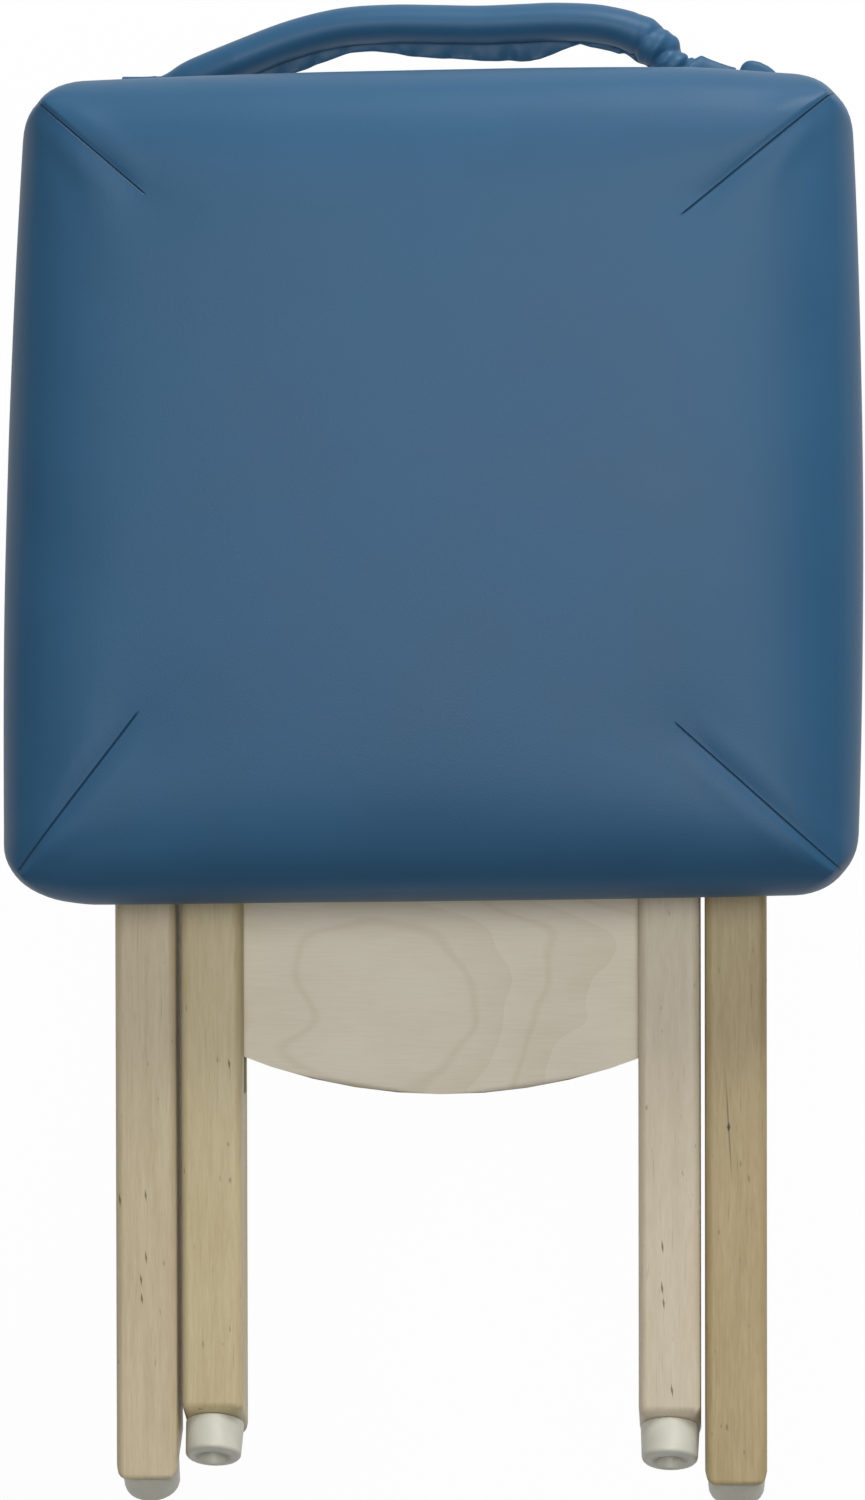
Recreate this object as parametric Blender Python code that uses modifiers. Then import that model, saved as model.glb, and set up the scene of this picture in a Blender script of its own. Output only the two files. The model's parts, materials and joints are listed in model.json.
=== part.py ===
"""Folding stool with a padded seat, folded flat and lying on its leg frames.

X runs across the stool, +Y towards the carry handle and +Z from the legs to the cushion.
All sizes are metres. Two leg frames cross at a pair of pivot bolts. The seat hangs on hinge
bolts at the top of the outer legs.
"""

import math

import bmesh
import bpy
from mathutils import Matrix, Vector

# Legs and frames; FIT is the clearance kept between neighbouring pieces
LEG_SIZE = 0.028
LEG_ROUND = 0.004
FRAME_GAP = 0.002
OUTER_LEAN = math.radians(34.0)
INNER_LEAN = math.radians(30.0)
PIVOT_TO_HINGE = 0.120
PIVOT_TO_OUTER_END = 0.374
PIVOT_TO_TOP_DOWEL = 0.072
FIT = 0.0003

# Cross members
TOP_RAIL_HEIGHT = 0.020
TOP_RAIL_DEPTH = 0.020
TOP_RAIL_DROP = 0.020
TOP_DOWEL_RADIUS = 0.011
DOWEL_SOCKET = 0.008
BRACE_THICKNESS = 0.009
BRACE_DADO = 0.006
BRACE_RECESS = 0.011
BRACE_TOP = -0.030
BRACE_END = -0.190
BRACE_SAG = 0.0166

# Feet
FOOT_HEIGHT = 0.0165
FOOT_RADIUS = 0.0134
FOOT_TAPER = 0.0006
FOOT_ROUND = 0.0022
FOOT_RECESS_RADIUS = 0.0070
FOOT_RECESS_DEPTH = 0.0085

# Fasteners
FOOT_SCREW_RADIUS = 0.0021
FOOT_SCREW_LENGTH = 0.026
FOOT_SCREW_HEAD_RADIUS = 0.0045
FOOT_SCREW_HEAD = 0.003
PIVOT_RADIUS = 0.004
PIVOT_HEAD_RADIUS = 0.009
PIVOT_HEAD = 0.004
PIVOT_NUT_RADIUS = 0.0075
PIVOT_NUT = 0.006
NUT_SIDES = 6
WASHER_RADIUS = 0.011
HINGE_RADIUS = 0.004
HINGE_HEAD_RADIUS = 0.009
HINGE_HEAD = 0.004
HINGE_GRIP = 0.022
WOOD_SCREW_RADIUS = 0.002
WOOD_SCREW_HEAD_RADIUS = 0.004
WOOD_SCREW_HEAD = 0.0024
RAIL_SCREW_LENGTH = 0.030
TOP_RAIL_SCREW_RADIUS = 0.003
TOP_RAIL_SCREW_HEAD_RADIUS = 0.005
TOP_RAIL_SCREW_HEAD = 0.003
TOP_RAIL_SCREW_LENGTH = 0.058

# Seat woodwork
BOARD_RISE = 0.0225
BOARD_THICKNESS = 0.012
BOARD_INSET = 0.007
BOARD_ROUND = 0.0015
RAIL_WIDTH = 0.018
RAIL_GAP = 0.0018
RAIL_DROP = 0.013
RAIL_BACK = 0.018
RAIL_FRONT = 0.190
RAIL_FRONT_DEPTH = 0.014
RAIL_SCREW_SPACING = 0.090
CLEAT_WIDTH = 0.022
CLEAT_SPACING = 0.090
CLEAT_BACK = 0.079
CLEAT_SLOPE = 0.030
CLEAT_FRONT = 0.132
CLEAT_DEPTH = 0.035
CLEAT_NOSE = 0.006
CLEAT_SCREW_SPACING = 0.020

# Cushion
SEAT_WIDTH = 0.375
SEAT_OVERHANG = 0.0395
SEAT_DEPTH = 0.366
SEAT_NARROWING = 0.0058
EDGE_BOW = 0.0015
SEAT_CORNER = 0.026
HINGE_TO_HANDLE_EDGE = 0.130
COVER_THICKNESS = 0.0012
CROWN_HEIGHT = 0.062
RIM_HEIGHT = 0.026
SHOULDER_REACH = 0.114
HEM_WIDTH = 0.006
HEM_ROUND = 0.0022
DART_DEPTH = 0.0022
DART_START = 0.004
DART_LENGTH = 0.060

# Carry handle
HANDLE_RADIUS = 0.0086
HANDLE_WALL = 0.0024
HANDLE_SLACK = 0.0010
HANDLE_REACH = 0.0375
HANDLE_DROP = 0.0125
HANDLE_LEFT_INSET = 0.0425
HANDLE_RIGHT_INSET = 0.0515
HANDLE_BACK = 0.006
HANDLE_LEAD = 0.008
HANDLE_CLIMB = 0.103
HANDLE_FALL = 0.060
TAB_WIDTH = 0.020
TAB_LENGTH = 0.025
TAB_BACK = 0.0185
TAB_SCREW_BITE = 0.009

# Mesh fineness
ROUND_STEPS = 24
SCREW_STEPS = 12
BEVEL_STEPS = 3
ARC_STEPS = 10
TREAD_STEPS = 3
TUBE_STEPS = 3
RUN_STEPS = 5
SIDE_POINTS = 5
CORNER_TURNS = (0.0, 34.0, 45.0, 56.0, 90.0)
DART_TURN = 45.0

# Sizes that follow from the ones above
HALF_LEG = LEG_SIZE / 2
OUTER_SPAN = SEAT_WIDTH - 2 * SEAT_OVERHANG
OUTER_LEG_X = OUTER_SPAN / 2 - HALF_LEG
INNER_LEG_X = OUTER_LEG_X - LEG_SIZE - FRAME_GAP
OUTER_INSIDE = OUTER_LEG_X - HALF_LEG
INNER_INSIDE = INNER_LEG_X - HALF_LEG
PIVOT_TO_INNER_END = PIVOT_TO_OUTER_END * math.cos(OUTER_LEAN) / math.cos(INNER_LEAN)
BOARD_TOP = BOARD_RISE + BOARD_THICKNESS
HANDLE_EDGE_Y = PIVOT_TO_HINGE + HINGE_TO_HANDLE_EDGE
SEAT_MIDDLE_Y = HANDLE_EDGE_Y - SEAT_DEPTH / 2
RAIL_X = OUTER_SPAN / 2 + RAIL_GAP + RAIL_WIDTH / 2
TOP_RAIL_Y = PIVOT_TO_HINGE - TOP_RAIL_DROP
BRACE_Z = HALF_LEG - BRACE_RECESS - BRACE_THICKNESS / 2
HANDLE_LEFT = HANDLE_LEFT_INSET - SEAT_WIDTH / 2
HANDLE_RIGHT = SEAT_WIDTH / 2 - HANDLE_RIGHT_INSET
HANDLE_AXIS_Y = HANDLE_EDGE_Y - HANDLE_BACK
HANDLE_Z = BOARD_RISE - HANDLE_DROP
HANDLE_CORE_RADIUS = HANDLE_RADIUS - HANDLE_WALL - HANDLE_SLACK
TAB_BOTTOM = HANDLE_Z - HANDLE_RADIUS
TAB_SCREW_LENGTH = BOARD_RISE + TAB_SCREW_BITE - TAB_BOTTOM
SIDES = {"left": -1, "right": 1}


def clear_scene():
    """Remove whatever the scene holds before the stool is built."""
    for old in list(bpy.data.objects):
        bpy.data.objects.remove(old, do_unlink=True)


def new_collection(name):
    """Add a collection under the scene."""
    collection = bpy.data.collections.new(name)
    bpy.context.scene.collection.children.link(collection)
    return collection


def new_material(name, color, roughness, metallic=0.0):
    """Make a Principled material of one colour."""
    material = bpy.data.materials.new(name)
    material.use_nodes = True
    shader = material.node_tree.nodes["Principled BSDF"]
    shader.inputs["Base Color"].default_value = (*color, 1.0)
    shader.inputs["Roughness"].default_value = roughness
    shader.inputs["Metallic"].default_value = metallic
    return material


clear_scene()
PARTS = new_collection("folding_stool")
CUTTERS = new_collection("folding_stool_cutters")
MAPLE = new_material("maple", (0.50, 0.43, 0.27), 0.45)
PLYWOOD = new_material("plywood", (0.60, 0.55, 0.46), 0.55)
VINYL = new_material("vinyl", (0.05, 0.12, 0.23), 0.45)
FOAM = new_material("foam", (0.80, 0.76, 0.60), 0.90)
RUBBER = new_material("rubber", (0.58, 0.56, 0.46), 0.50)
STEEL = new_material("steel", (0.55, 0.55, 0.55), 0.35, 1.0)


def new_empty(name, y, z, parent=None):
    """Add an empty on a joint axis, placed in its parent's frame."""
    empty = bpy.data.objects.new(name, None)
    empty.empty_display_size = 0.02
    PARTS.objects.link(empty)
    empty.parent = parent
    empty.location = (0, y, z)
    return empty


ROOT = new_empty("stool_frame", 0, 0)
INNER = new_empty("leg_fold_axis", 0, 0, ROOT)
SEAT = new_empty("seat_fold_axis", PIVOT_TO_HINGE, 0, ROOT)
HANDLE = new_empty("handle_swing_axis", HANDLE_AXIS_Y - PIVOT_TO_HINGE, HANDLE_Z, SEAT)
BASE = {ROOT: (0, 0), INNER: (0, 0), SEAT: (PIVOT_TO_HINGE, 0), HANDLE: (HANDLE_AXIS_Y, HANDLE_Z)}


def add_part(name, mesh, material, parent):
    """Add one sub-part whose mesh is written in the stool's frame, with its origin on its parent's axis."""
    y, z = BASE[parent]
    mesh.transform(Matrix.Translation((0, -y, -z)))
    mesh.materials.clear()
    mesh.materials.append(material)
    part = bpy.data.objects.new(name, mesh)
    PARTS.objects.link(part)
    part.parent = parent
    return part


def smooth(part):
    """Shade a round piece smooth and keep its corners sharp."""
    part.data.shade_smooth()
    part.data.set_sharp_from_angle(angle=math.radians(35))


def curve_mesh(curve):
    """Turn a curve into a mesh with its caps welded."""
    holder = bpy.data.objects.new(curve.name, curve)
    bpy.context.scene.collection.objects.link(holder)
    bpy.context.view_layer.update()
    depsgraph = bpy.context.evaluated_depsgraph_get()
    mesh = bpy.data.meshes.new_from_object(holder.evaluated_get(depsgraph))
    bpy.data.objects.remove(holder, do_unlink=True)
    grid = bmesh.new()
    grid.from_mesh(mesh)
    bmesh.ops.remove_doubles(grid, verts=grid.verts, dist=0.00001)
    grid.to_mesh(mesh)
    grid.free()
    return mesh


def plate_mesh(outline, thickness):
    """Extrude a flat outline in XY to a plate centred on Z = 0, with one whole face on each side."""
    count = len(outline)
    turning = sum(x0 * y1 - x1 * y0 for (x0, y0), (x1, y1) in zip(outline, outline[1:] + outline[:1]))
    outline = outline if turning > 0 else outline[::-1]
    points = [(x, y, z) for z in (-thickness / 2, thickness / 2) for x, y in outline]
    faces = [tuple(reversed(range(count))), tuple(range(count, 2 * count))]
    for i in range(count):
        after = (i + 1) % count
        faces.append((i, after, count + after, count + i))
    mesh = bpy.data.meshes.new("plate")
    mesh.from_pydata(points, [], faces)
    mesh.update()
    return mesh


def side_plate_mesh(outline, thickness, x):
    """Extrude an outline of (y, z) points across the stool, centred on x."""
    mesh = plate_mesh(outline, thickness)
    mesh.transform(Matrix(((0, 0, 1, x), (1, 0, 0, 0), (0, 1, 0, 0), (0, 0, 0, 1))))
    return mesh


def box_mesh(low, high):
    """A box between two corners."""
    grid = bmesh.new()
    bmesh.ops.create_cube(grid, size=1.0)
    low, high = Vector(low), Vector(high)
    size = high - low
    for vert in grid.verts:
        vert.co = (low + high) / 2 + Vector(vert.co[i] * size[i] for i in range(3))
    mesh = bpy.data.meshes.new("box")
    grid.to_mesh(mesh)
    grid.free()
    return mesh


def turned_mesh(profile, steps):
    """Turn a closed profile of (radius, height) points about Z with a Screw modifier."""
    mesh = bpy.data.meshes.new("profile")
    points = [(radius, 0, height) for radius, height in profile]
    ring = [(i, (i + 1) % len(points)) for i in range(len(points))]
    if profile[0][0] == 0:
        ring.pop()
    mesh.from_pydata(points, ring, [])
    holder = bpy.data.objects.new("profile", mesh)
    bpy.context.scene.collection.objects.link(holder)
    screw = holder.modifiers.new("turn", "SCREW")
    screw.steps = steps
    screw.render_steps = steps
    screw.use_merge_vertices = True
    screw.merge_threshold = 0.00001
    bpy.context.view_layer.update()
    depsgraph = bpy.context.evaluated_depsgraph_get()
    turned = bpy.data.meshes.new_from_object(holder.evaluated_get(depsgraph))
    bpy.data.objects.remove(holder, do_unlink=True)
    return turned


def placed_mesh(mesh, *places):
    """Copy one mesh to one or more places."""
    grid = bmesh.new()
    for place in places:
        copy = mesh.copy()
        copy.transform(place)
        grid.from_mesh(copy)
        bpy.data.meshes.remove(copy)
    bmesh.ops.recalc_face_normals(grid, faces=grid.faces)
    placed = bpy.data.meshes.new("placed")
    grid.to_mesh(placed)
    grid.free()
    return placed


def add_fasteners(name, mesh, places, material, parent):
    """Add one named piece for each place, from left to right and then along the stool."""
    count = len(places) // len(SIDES)
    for index, place in enumerate(places):
        side = list(SIDES)[index // count]
        label = f"{name}_{side}" if count == 1 else f"{name}_{side}_{index % count + 1}"
        smooth(add_part(label, placed_mesh(mesh, place), material, parent))


def rod_mesh(radius, low, high, steps=ROUND_STEPS):
    """A plain rod along Z between two heights."""
    return turned_mesh([(0, high), (radius, high), (radius, low), (0, low)], steps)


def headed_mesh(radius, length, head_radius, head):
    """A screw or bolt: its shank runs down from Z = 0 and its slightly domed head sits above."""
    dome = head_radius * 0.6
    profile = [(0, head), (dome, head), (head_radius, head / 2), (head_radius, 0)]
    profile += [(radius, 0), (radius, -length), (0, -length)]
    return turned_mesh(profile, SCREW_STEPS)


def stepped_mesh(radius, low, head_radius, head_low, high, steps):
    """A bore along Z that widens above head_low to take a fastener's head."""
    profile = [(0, high), (head_radius, high), (head_radius, head_low)]
    profile += [(radius, head_low), (radius, low), (0, low)]
    return turned_mesh(profile, steps)


def ring_mesh(inner_radius, outer_radius, low, high, steps=SCREW_STEPS):
    """A washer or nut around Z."""
    profile = [(inner_radius, high), (outer_radius, high), (outer_radius, low), (inner_radius, low)]
    return turned_mesh(profile, steps)


def across(x, y, z, side):
    """Place a piece made along Z so that +Z points outwards along X on one side."""
    return Matrix.Translation((x, y, z)) @ Matrix.Rotation(side * math.pi / 2, 4, "Y")


def cut(part, mesh, places):
    """Cut copies of a mesh, placed in the stool's frame, out of a part."""
    cutter = add_part(part.name + "_cutter", placed_mesh(mesh, *places), STEEL, part.parent)
    PARTS.objects.unlink(cutter)
    CUTTERS.objects.link(cutter)
    cutter.hide_render = True
    cutter.display_type = "WIRE"
    boolean = part.modifiers.new("cut", "BOOLEAN")
    boolean.operation = "DIFFERENCE"
    boolean.solver = "EXACT"
    boolean.object = cutter


def round_edges(part, width, segments=BEVEL_STEPS):
    """Round the part's sharp edges before any hole is cut."""
    bevel = part.modifiers.new("round", "BEVEL")
    bevel.width = width
    bevel.segments = segments
    bevel.limit_method = "ANGLE"
    bevel.angle_limit = math.radians(40)


def leg_outline(top_y, end_y, lean):
    """Side outline of a leg: a round top about its axis and an end sawn to stand flat on the floor."""
    slant = HALF_LEG * math.tan(lean)
    turns = [math.pi * i / ARC_STEPS for i in range(ARC_STEPS + 1)]
    outline = [(top_y + HALF_LEG * math.sin(turn), HALF_LEG * math.cos(turn)) for turn in turns]
    return outline + [(end_y + slant, -HALF_LEG), (end_y - slant, HALF_LEG)]


def foot_place(x, end_y, lean):
    """Frame of a foot: its origin on the sawn end and its +Z into the leg."""
    turn = Matrix.Rotation(lean - math.pi / 2, 4, "X")
    return Matrix.Translation((x, end_y, 0)) @ turn


FOOT_SEAT_DEPTH = FOOT_HEIGHT - FOOT_RECESS_DEPTH + FIT
FOOT_SCREW_TIP = FOOT_SCREW_LENGTH - FOOT_SEAT_DEPTH
FOOT_SCREW_BORE = rod_mesh(FOOT_SCREW_RADIUS + FIT, -FIT - FOOT_SCREW_TIP, FOOT_HEIGHT, SCREW_STEPS)


def foot_mesh():
    """A moulded foot: a short tapered drum with a rounded tread and a recess for its screw."""
    top = -FIT
    tread = -FOOT_HEIGHT
    rounds = [math.pi / 2 * i / TREAD_STEPS for i in range(TREAD_STEPS + 1)]
    edge = FOOT_RADIUS - FOOT_TAPER - FOOT_ROUND
    profile = [(FOOT_SCREW_RADIUS + FIT, top), (FOOT_RADIUS, top)]
    profile += [(edge + FOOT_ROUND * math.cos(a), tread + FOOT_ROUND * (1 - math.sin(a))) for a in rounds]
    floor = tread + FOOT_RECESS_DEPTH
    profile += [(FOOT_RECESS_RADIUS, tread), (FOOT_RECESS_RADIUS, floor), (FOOT_SCREW_RADIUS + FIT, floor)]
    return turned_mesh(profile, ROUND_STEPS)


def build_feet(prefix, leg_x, end_y, lean, parent):
    """Add the two feet of a frame and the screws that hold them."""
    screw = headed_mesh(FOOT_SCREW_RADIUS, FOOT_SCREW_LENGTH, FOOT_SCREW_HEAD_RADIUS, FOOT_SCREW_HEAD)
    screw.transform(Matrix.Translation((0, 0, -FOOT_SEAT_DEPTH)) @ Matrix.Rotation(math.pi, 4, "X"))
    places = []
    for side, sign in SIDES.items():
        place = foot_place(sign * leg_x, end_y, lean)
        foot = add_part(f"{prefix}_foot_{side}", placed_mesh(foot_mesh(), place), RUBBER, parent)
        smooth(foot)
        places.append(place)
    add_fasteners(f"{prefix}_foot_screw", screw, places, STEEL, parent)


def cut_foot_screw(leg, x, end_y, lean):
    """Bore the sawn end of a leg for its foot screw."""
    flip = Matrix.Rotation(math.pi, 4, "X")
    cut(leg, FOOT_SCREW_BORE, [foot_place(x, end_y, lean) @ flip])


def build_outer_frame():
    """Outer legs, their top rail and its screws."""
    end_y = -PIVOT_TO_OUTER_END
    hinge_bore = rod_mesh(HINGE_RADIUS + FIT, HALF_LEG - HINGE_GRIP - FIT, LEG_SIZE)
    pivot_low = HALF_LEG - PIVOT_HEAD - FIT
    pivot_bore = stepped_mesh(
        PIVOT_RADIUS + FIT, -LEG_SIZE, PIVOT_HEAD_RADIUS + FIT, pivot_low, LEG_SIZE, ROUND_STEPS
    )
    screw_low = HALF_LEG - TOP_RAIL_SCREW_HEAD - FIT
    screw_radius = TOP_RAIL_SCREW_RADIUS + FIT
    head_radius = TOP_RAIL_SCREW_HEAD_RADIUS + FIT
    screw_bore = stepped_mesh(screw_radius, -LEG_SIZE, head_radius, screw_low, LEG_SIZE, SCREW_STEPS)
    for side, sign in SIDES.items():
        x = sign * OUTER_LEG_X
        outline = leg_outline(PIVOT_TO_HINGE, end_y, OUTER_LEAN)
        leg = add_part(f"outer_leg_{side}", side_plate_mesh(outline, LEG_SIZE, x), MAPLE, ROOT)
        round_edges(leg, LEG_ROUND)
        cut(leg, pivot_bore, [across(x, 0, 0, sign)])
        cut(leg, hinge_bore, [across(x, PIVOT_TO_HINGE, 0, sign)])
        cut(leg, screw_bore, [across(x, TOP_RAIL_Y, 0, sign)])
        cut_foot_screw(leg, x, end_y, OUTER_LEAN)
    build_feet("outer", OUTER_LEG_X, end_y, OUTER_LEAN, ROOT)
    end_x = OUTER_INSIDE - FIT
    low = (-end_x, TOP_RAIL_Y - TOP_RAIL_HEIGHT / 2, -TOP_RAIL_DEPTH / 2)
    high = (end_x, TOP_RAIL_Y + TOP_RAIL_HEIGHT / 2, TOP_RAIL_DEPTH / 2)
    rail = add_part("outer_top_rail", box_mesh(low, high), MAPLE, ROOT)
    round_edges(rail, LEG_ROUND)
    screw = headed_mesh(
        TOP_RAIL_SCREW_RADIUS, TOP_RAIL_SCREW_LENGTH, TOP_RAIL_SCREW_HEAD_RADIUS, TOP_RAIL_SCREW_HEAD
    )
    screw_x = OUTER_SPAN / 2 - TOP_RAIL_SCREW_HEAD
    places = [across(sign * screw_x, TOP_RAIL_Y, 0, sign) for sign in SIDES.values()]
    rail_bore = rod_mesh(TOP_RAIL_SCREW_RADIUS + FIT, -TOP_RAIL_SCREW_LENGTH - FIT, 0, SCREW_STEPS)
    cut(rail, rail_bore, places)
    add_fasteners("top_rail_screw", screw, places, STEEL, ROOT)


def brace_outline():
    """Front outline of the brace: square at the top, its lower edge one arc that dips in the middle."""
    half = INNER_INSIDE + BRACE_DADO - FIT
    chord = INNER_INSIDE
    radius = (chord ** 2 + BRACE_SAG ** 2) / (2 * BRACE_SAG)
    spread = math.asin(half / radius)
    centre = BRACE_END - BRACE_SAG + radius
    turns = [spread * (2 * i / ARC_STEPS - 1) for i in range(ARC_STEPS + 1)]
    arc = [(radius * math.sin(turn), centre - radius * math.cos(turn)) for turn in turns]
    return arc + [(half, BRACE_TOP), (-half, BRACE_TOP)]


def build_inner_frame():
    """Inner legs, the dowel between their tops and the plywood brace."""
    end_y = -PIVOT_TO_INNER_END
    socket = rod_mesh(TOP_DOWEL_RADIUS + FIT, -HALF_LEG - LEG_SIZE, DOWEL_SOCKET - HALF_LEG)
    outline = brace_outline()
    slot_low = min(y for x, y in outline) - FIT
    pivot_bore = rod_mesh(PIVOT_RADIUS + FIT, -LEG_SIZE, LEG_SIZE)
    for side, sign in SIDES.items():
        x = sign * INNER_LEG_X
        leg_side = leg_outline(PIVOT_TO_TOP_DOWEL, end_y, -INNER_LEAN)
        leg = add_part(f"inner_leg_{side}", side_plate_mesh(leg_side, LEG_SIZE, x), MAPLE, INNER)
        round_edges(leg, LEG_ROUND)
        cut(leg, pivot_bore, [across(x, 0, 0, sign)])
        cut(leg, socket, [across(x, PIVOT_TO_TOP_DOWEL, 0, sign)])
        depth = BRACE_THICKNESS / 2 + FIT
        near, far = sorted((sign * (INNER_INSIDE - LEG_SIZE), sign * (INNER_INSIDE + BRACE_DADO)))
        slot = box_mesh((near, slot_low, BRACE_Z - depth), (far, BRACE_TOP + FIT, BRACE_Z + depth))
        cut(leg, slot, [Matrix.Identity(4)])
        cut_foot_screw(leg, x, end_y, -INNER_LEAN)
    build_feet("inner", INNER_LEG_X, end_y, -INNER_LEAN, INNER)
    brace_mesh = plate_mesh(outline, BRACE_THICKNESS)
    brace_mesh.transform(Matrix.Translation((0, 0, BRACE_Z)))
    add_part("brace", brace_mesh, PLYWOOD, INNER)
    dowel_end = INNER_INSIDE + DOWEL_SOCKET - FIT
    dowel_rod = rod_mesh(TOP_DOWEL_RADIUS, -dowel_end, dowel_end)
    dowel = placed_mesh(dowel_rod, across(0, PIVOT_TO_TOP_DOWEL, 0, 1))
    smooth(add_part("inner_top_dowel", dowel, MAPLE, INNER))


def build_pivots():
    """Pivot bolts through both legs of a side, with a washer between the legs and a nut inside."""
    washer_low = OUTER_INSIDE - FRAME_GAP + FIT
    nut_face = INNER_INSIDE - FIT
    head_seat = OUTER_SPAN / 2 - PIVOT_HEAD
    length = head_seat - nut_face + PIVOT_NUT
    bolt = headed_mesh(PIVOT_RADIUS, length, PIVOT_HEAD_RADIUS, PIVOT_HEAD)
    washer = ring_mesh(PIVOT_RADIUS + FIT, WASHER_RADIUS, 0, FRAME_GAP - 2 * FIT, ROUND_STEPS)
    nut_hole = (PIVOT_RADIUS + FIT) / math.cos(math.pi / NUT_SIDES)
    nut = ring_mesh(nut_hole, PIVOT_NUT_RADIUS, -PIVOT_NUT, 0, NUT_SIDES)
    bolts = [across(sign * head_seat, 0, 0, sign) for sign in SIDES.values()]
    washers = [across(sign * washer_low, 0, 0, sign) for sign in SIDES.values()]
    nuts = [across(sign * nut_face, 0, 0, sign) for sign in SIDES.values()]
    add_fasteners("pivot_bolt", bolt, bolts, STEEL, ROOT)
    add_fasteners("pivot_washer", washer, washers, STEEL, ROOT)
    add_fasteners("pivot_nut", nut, nuts, STEEL, ROOT)


def rail_outline():
    """Side outline of a seat rail: deep at the hinge and slim at its front end, as (y, z) points."""
    top = BOARD_RISE - FIT
    turns = [math.pi / 2 * i / 4 for i in range(5)]
    hinge = PIVOT_TO_HINGE
    back = [(hinge + RAIL_BACK * math.cos(turn), -RAIL_DROP * math.sin(turn)) for turn in turns]
    front = hinge - RAIL_FRONT
    return [(hinge + RAIL_BACK, top)] + back + [(front, top - RAIL_FRONT_DEPTH), (front, top)]


def cleat_outline():
    """Side outline of a catch cleat, sloped where the inner frame's dowel comes up against it."""
    top = BOARD_RISE - FIT
    hinge = PIVOT_TO_HINGE
    nose = hinge - CLEAT_FRONT
    bottom = top - CLEAT_DEPTH
    outline = [(hinge - CLEAT_BACK, top), (hinge - CLEAT_BACK - CLEAT_SLOPE, bottom)]
    return outline + [(nose + CLEAT_NOSE, bottom), (nose, bottom + CLEAT_NOSE), (nose, top)]


def seat_screw_places():
    """Screws that come down through the board into the rails and the cleats, as (x, y) points."""
    rail_ys = [PIVOT_TO_HINGE - RAIL_BACK - RAIL_SCREW_SPACING * i for i in range(2)]
    rails = [(sign * RAIL_X, y) for sign in SIDES.values() for y in rail_ys]
    middle = PIVOT_TO_HINGE - CLEAT_BACK - CLEAT_SLOPE
    cleat_ys = [middle + CLEAT_SCREW_SPACING / 2, middle - CLEAT_SCREW_SPACING / 2]
    cleats = [(sign * CLEAT_SPACING / 2, y) for sign in SIDES.values() for y in cleat_ys]
    return rails, cleats


def tab_places():
    """Middle of each handle tab under the board, as (x, y) points."""
    reach = FIT + TAB_LENGTH / 2
    tab_y = HANDLE_EDGE_Y - TAB_BACK
    return [(HANDLE_LEFT - reach, tab_y), (HANDLE_RIGHT + reach, tab_y)]


def build_seat_woodwork():
    """The board, its two hinge rails, the two catch cleats and the screws between them."""
    section = [(BOARD_ROUND, BOARD_RISE), (0.0, BOARD_RISE + BOARD_ROUND)]
    section += [(0.0, BOARD_TOP - BOARD_ROUND), (BOARD_ROUND, BOARD_TOP)]
    rings = [cushion_ring(BOARD_INSET + inset, z, 0.0) for inset, z in section]
    board = add_part("seat_board", loft_mesh(rings, True, True), PLYWOOD, SEAT)
    rails, cleats = seat_screw_places()
    screw = headed_mesh(WOOD_SCREW_RADIUS, RAIL_SCREW_LENGTH, WOOD_SCREW_HEAD_RADIUS, WOOD_SCREW_HEAD)
    head_z = BOARD_TOP - WOOD_SCREW_HEAD - FIT
    shank_bore = rod_mesh(WOOD_SCREW_RADIUS + FIT, -RAIL_SCREW_LENGTH - FIT, FIT, SCREW_STEPS)
    past = BOARD_THICKNESS
    head_radius = WOOD_SCREW_HEAD_RADIUS + FIT
    board_bore = stepped_mesh(WOOD_SCREW_RADIUS + FIT, -past, head_radius, -FIT, past, SCREW_STEPS)
    rail_screws = [Matrix.Translation((x, y, head_z)) for x, y in rails]
    cleat_screws = [Matrix.Translation((x, y, head_z)) for x, y in cleats]
    cut(board, board_bore, rail_screws + cleat_screws)
    tab_bore = rod_mesh(WOOD_SCREW_RADIUS + FIT, 0, TAB_SCREW_LENGTH + FIT, SCREW_STEPS)
    cut(board, tab_bore, [Matrix.Translation((x, y, TAB_BOTTOM)) for x, y in tab_places()])
    add_fasteners("rail_screw", screw, rail_screws, STEEL, SEAT)
    add_fasteners("cleat_screw", screw, cleat_screws, STEEL, SEAT)
    hinge_bore = rod_mesh(HINGE_RADIUS + FIT, -RAIL_WIDTH, RAIL_WIDTH)
    for side, sign in SIDES.items():
        rail_mesh = side_plate_mesh(rail_outline(), RAIL_WIDTH, sign * RAIL_X)
        rail = add_part(f"seat_rail_{side}", rail_mesh, MAPLE, SEAT)
        cut(rail, hinge_bore, [across(sign * RAIL_X, PIVOT_TO_HINGE, 0, sign)])
        cut(rail, shank_bore, [place for place in rail_screws if place.translation.x * sign > 0])
        cleat_mesh = side_plate_mesh(cleat_outline(), CLEAT_WIDTH, sign * CLEAT_SPACING / 2)
        cleat = add_part(f"catch_cleat_{side}", cleat_mesh, MAPLE, SEAT)
        cut(cleat, shank_bore, [place for place in cleat_screws if place.translation.x * sign > 0])


def build_seat_hinge():
    """Hinge bolts through the seat rails into the outer legs, with a washer in each gap."""
    face = RAIL_X + RAIL_WIDTH / 2 + FIT
    length = face - OUTER_SPAN / 2 + HINGE_GRIP
    bolt = headed_mesh(HINGE_RADIUS, length, HINGE_HEAD_RADIUS, HINGE_HEAD)
    washer = ring_mesh(HINGE_RADIUS + FIT, WASHER_RADIUS, 0, RAIL_GAP - 2 * FIT, ROUND_STEPS)
    washer_low = OUTER_SPAN / 2 + FIT
    bolts = [across(sign * face, PIVOT_TO_HINGE, 0, sign) for sign in SIDES.values()]
    washers = [across(sign * washer_low, PIVOT_TO_HINGE, 0, sign) for sign in SIDES.values()]
    add_fasteners("hinge_bolt", bolt, bolts, STEEL, ROOT)
    add_fasteners("hinge_washer", washer, washers, STEEL, ROOT)


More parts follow.
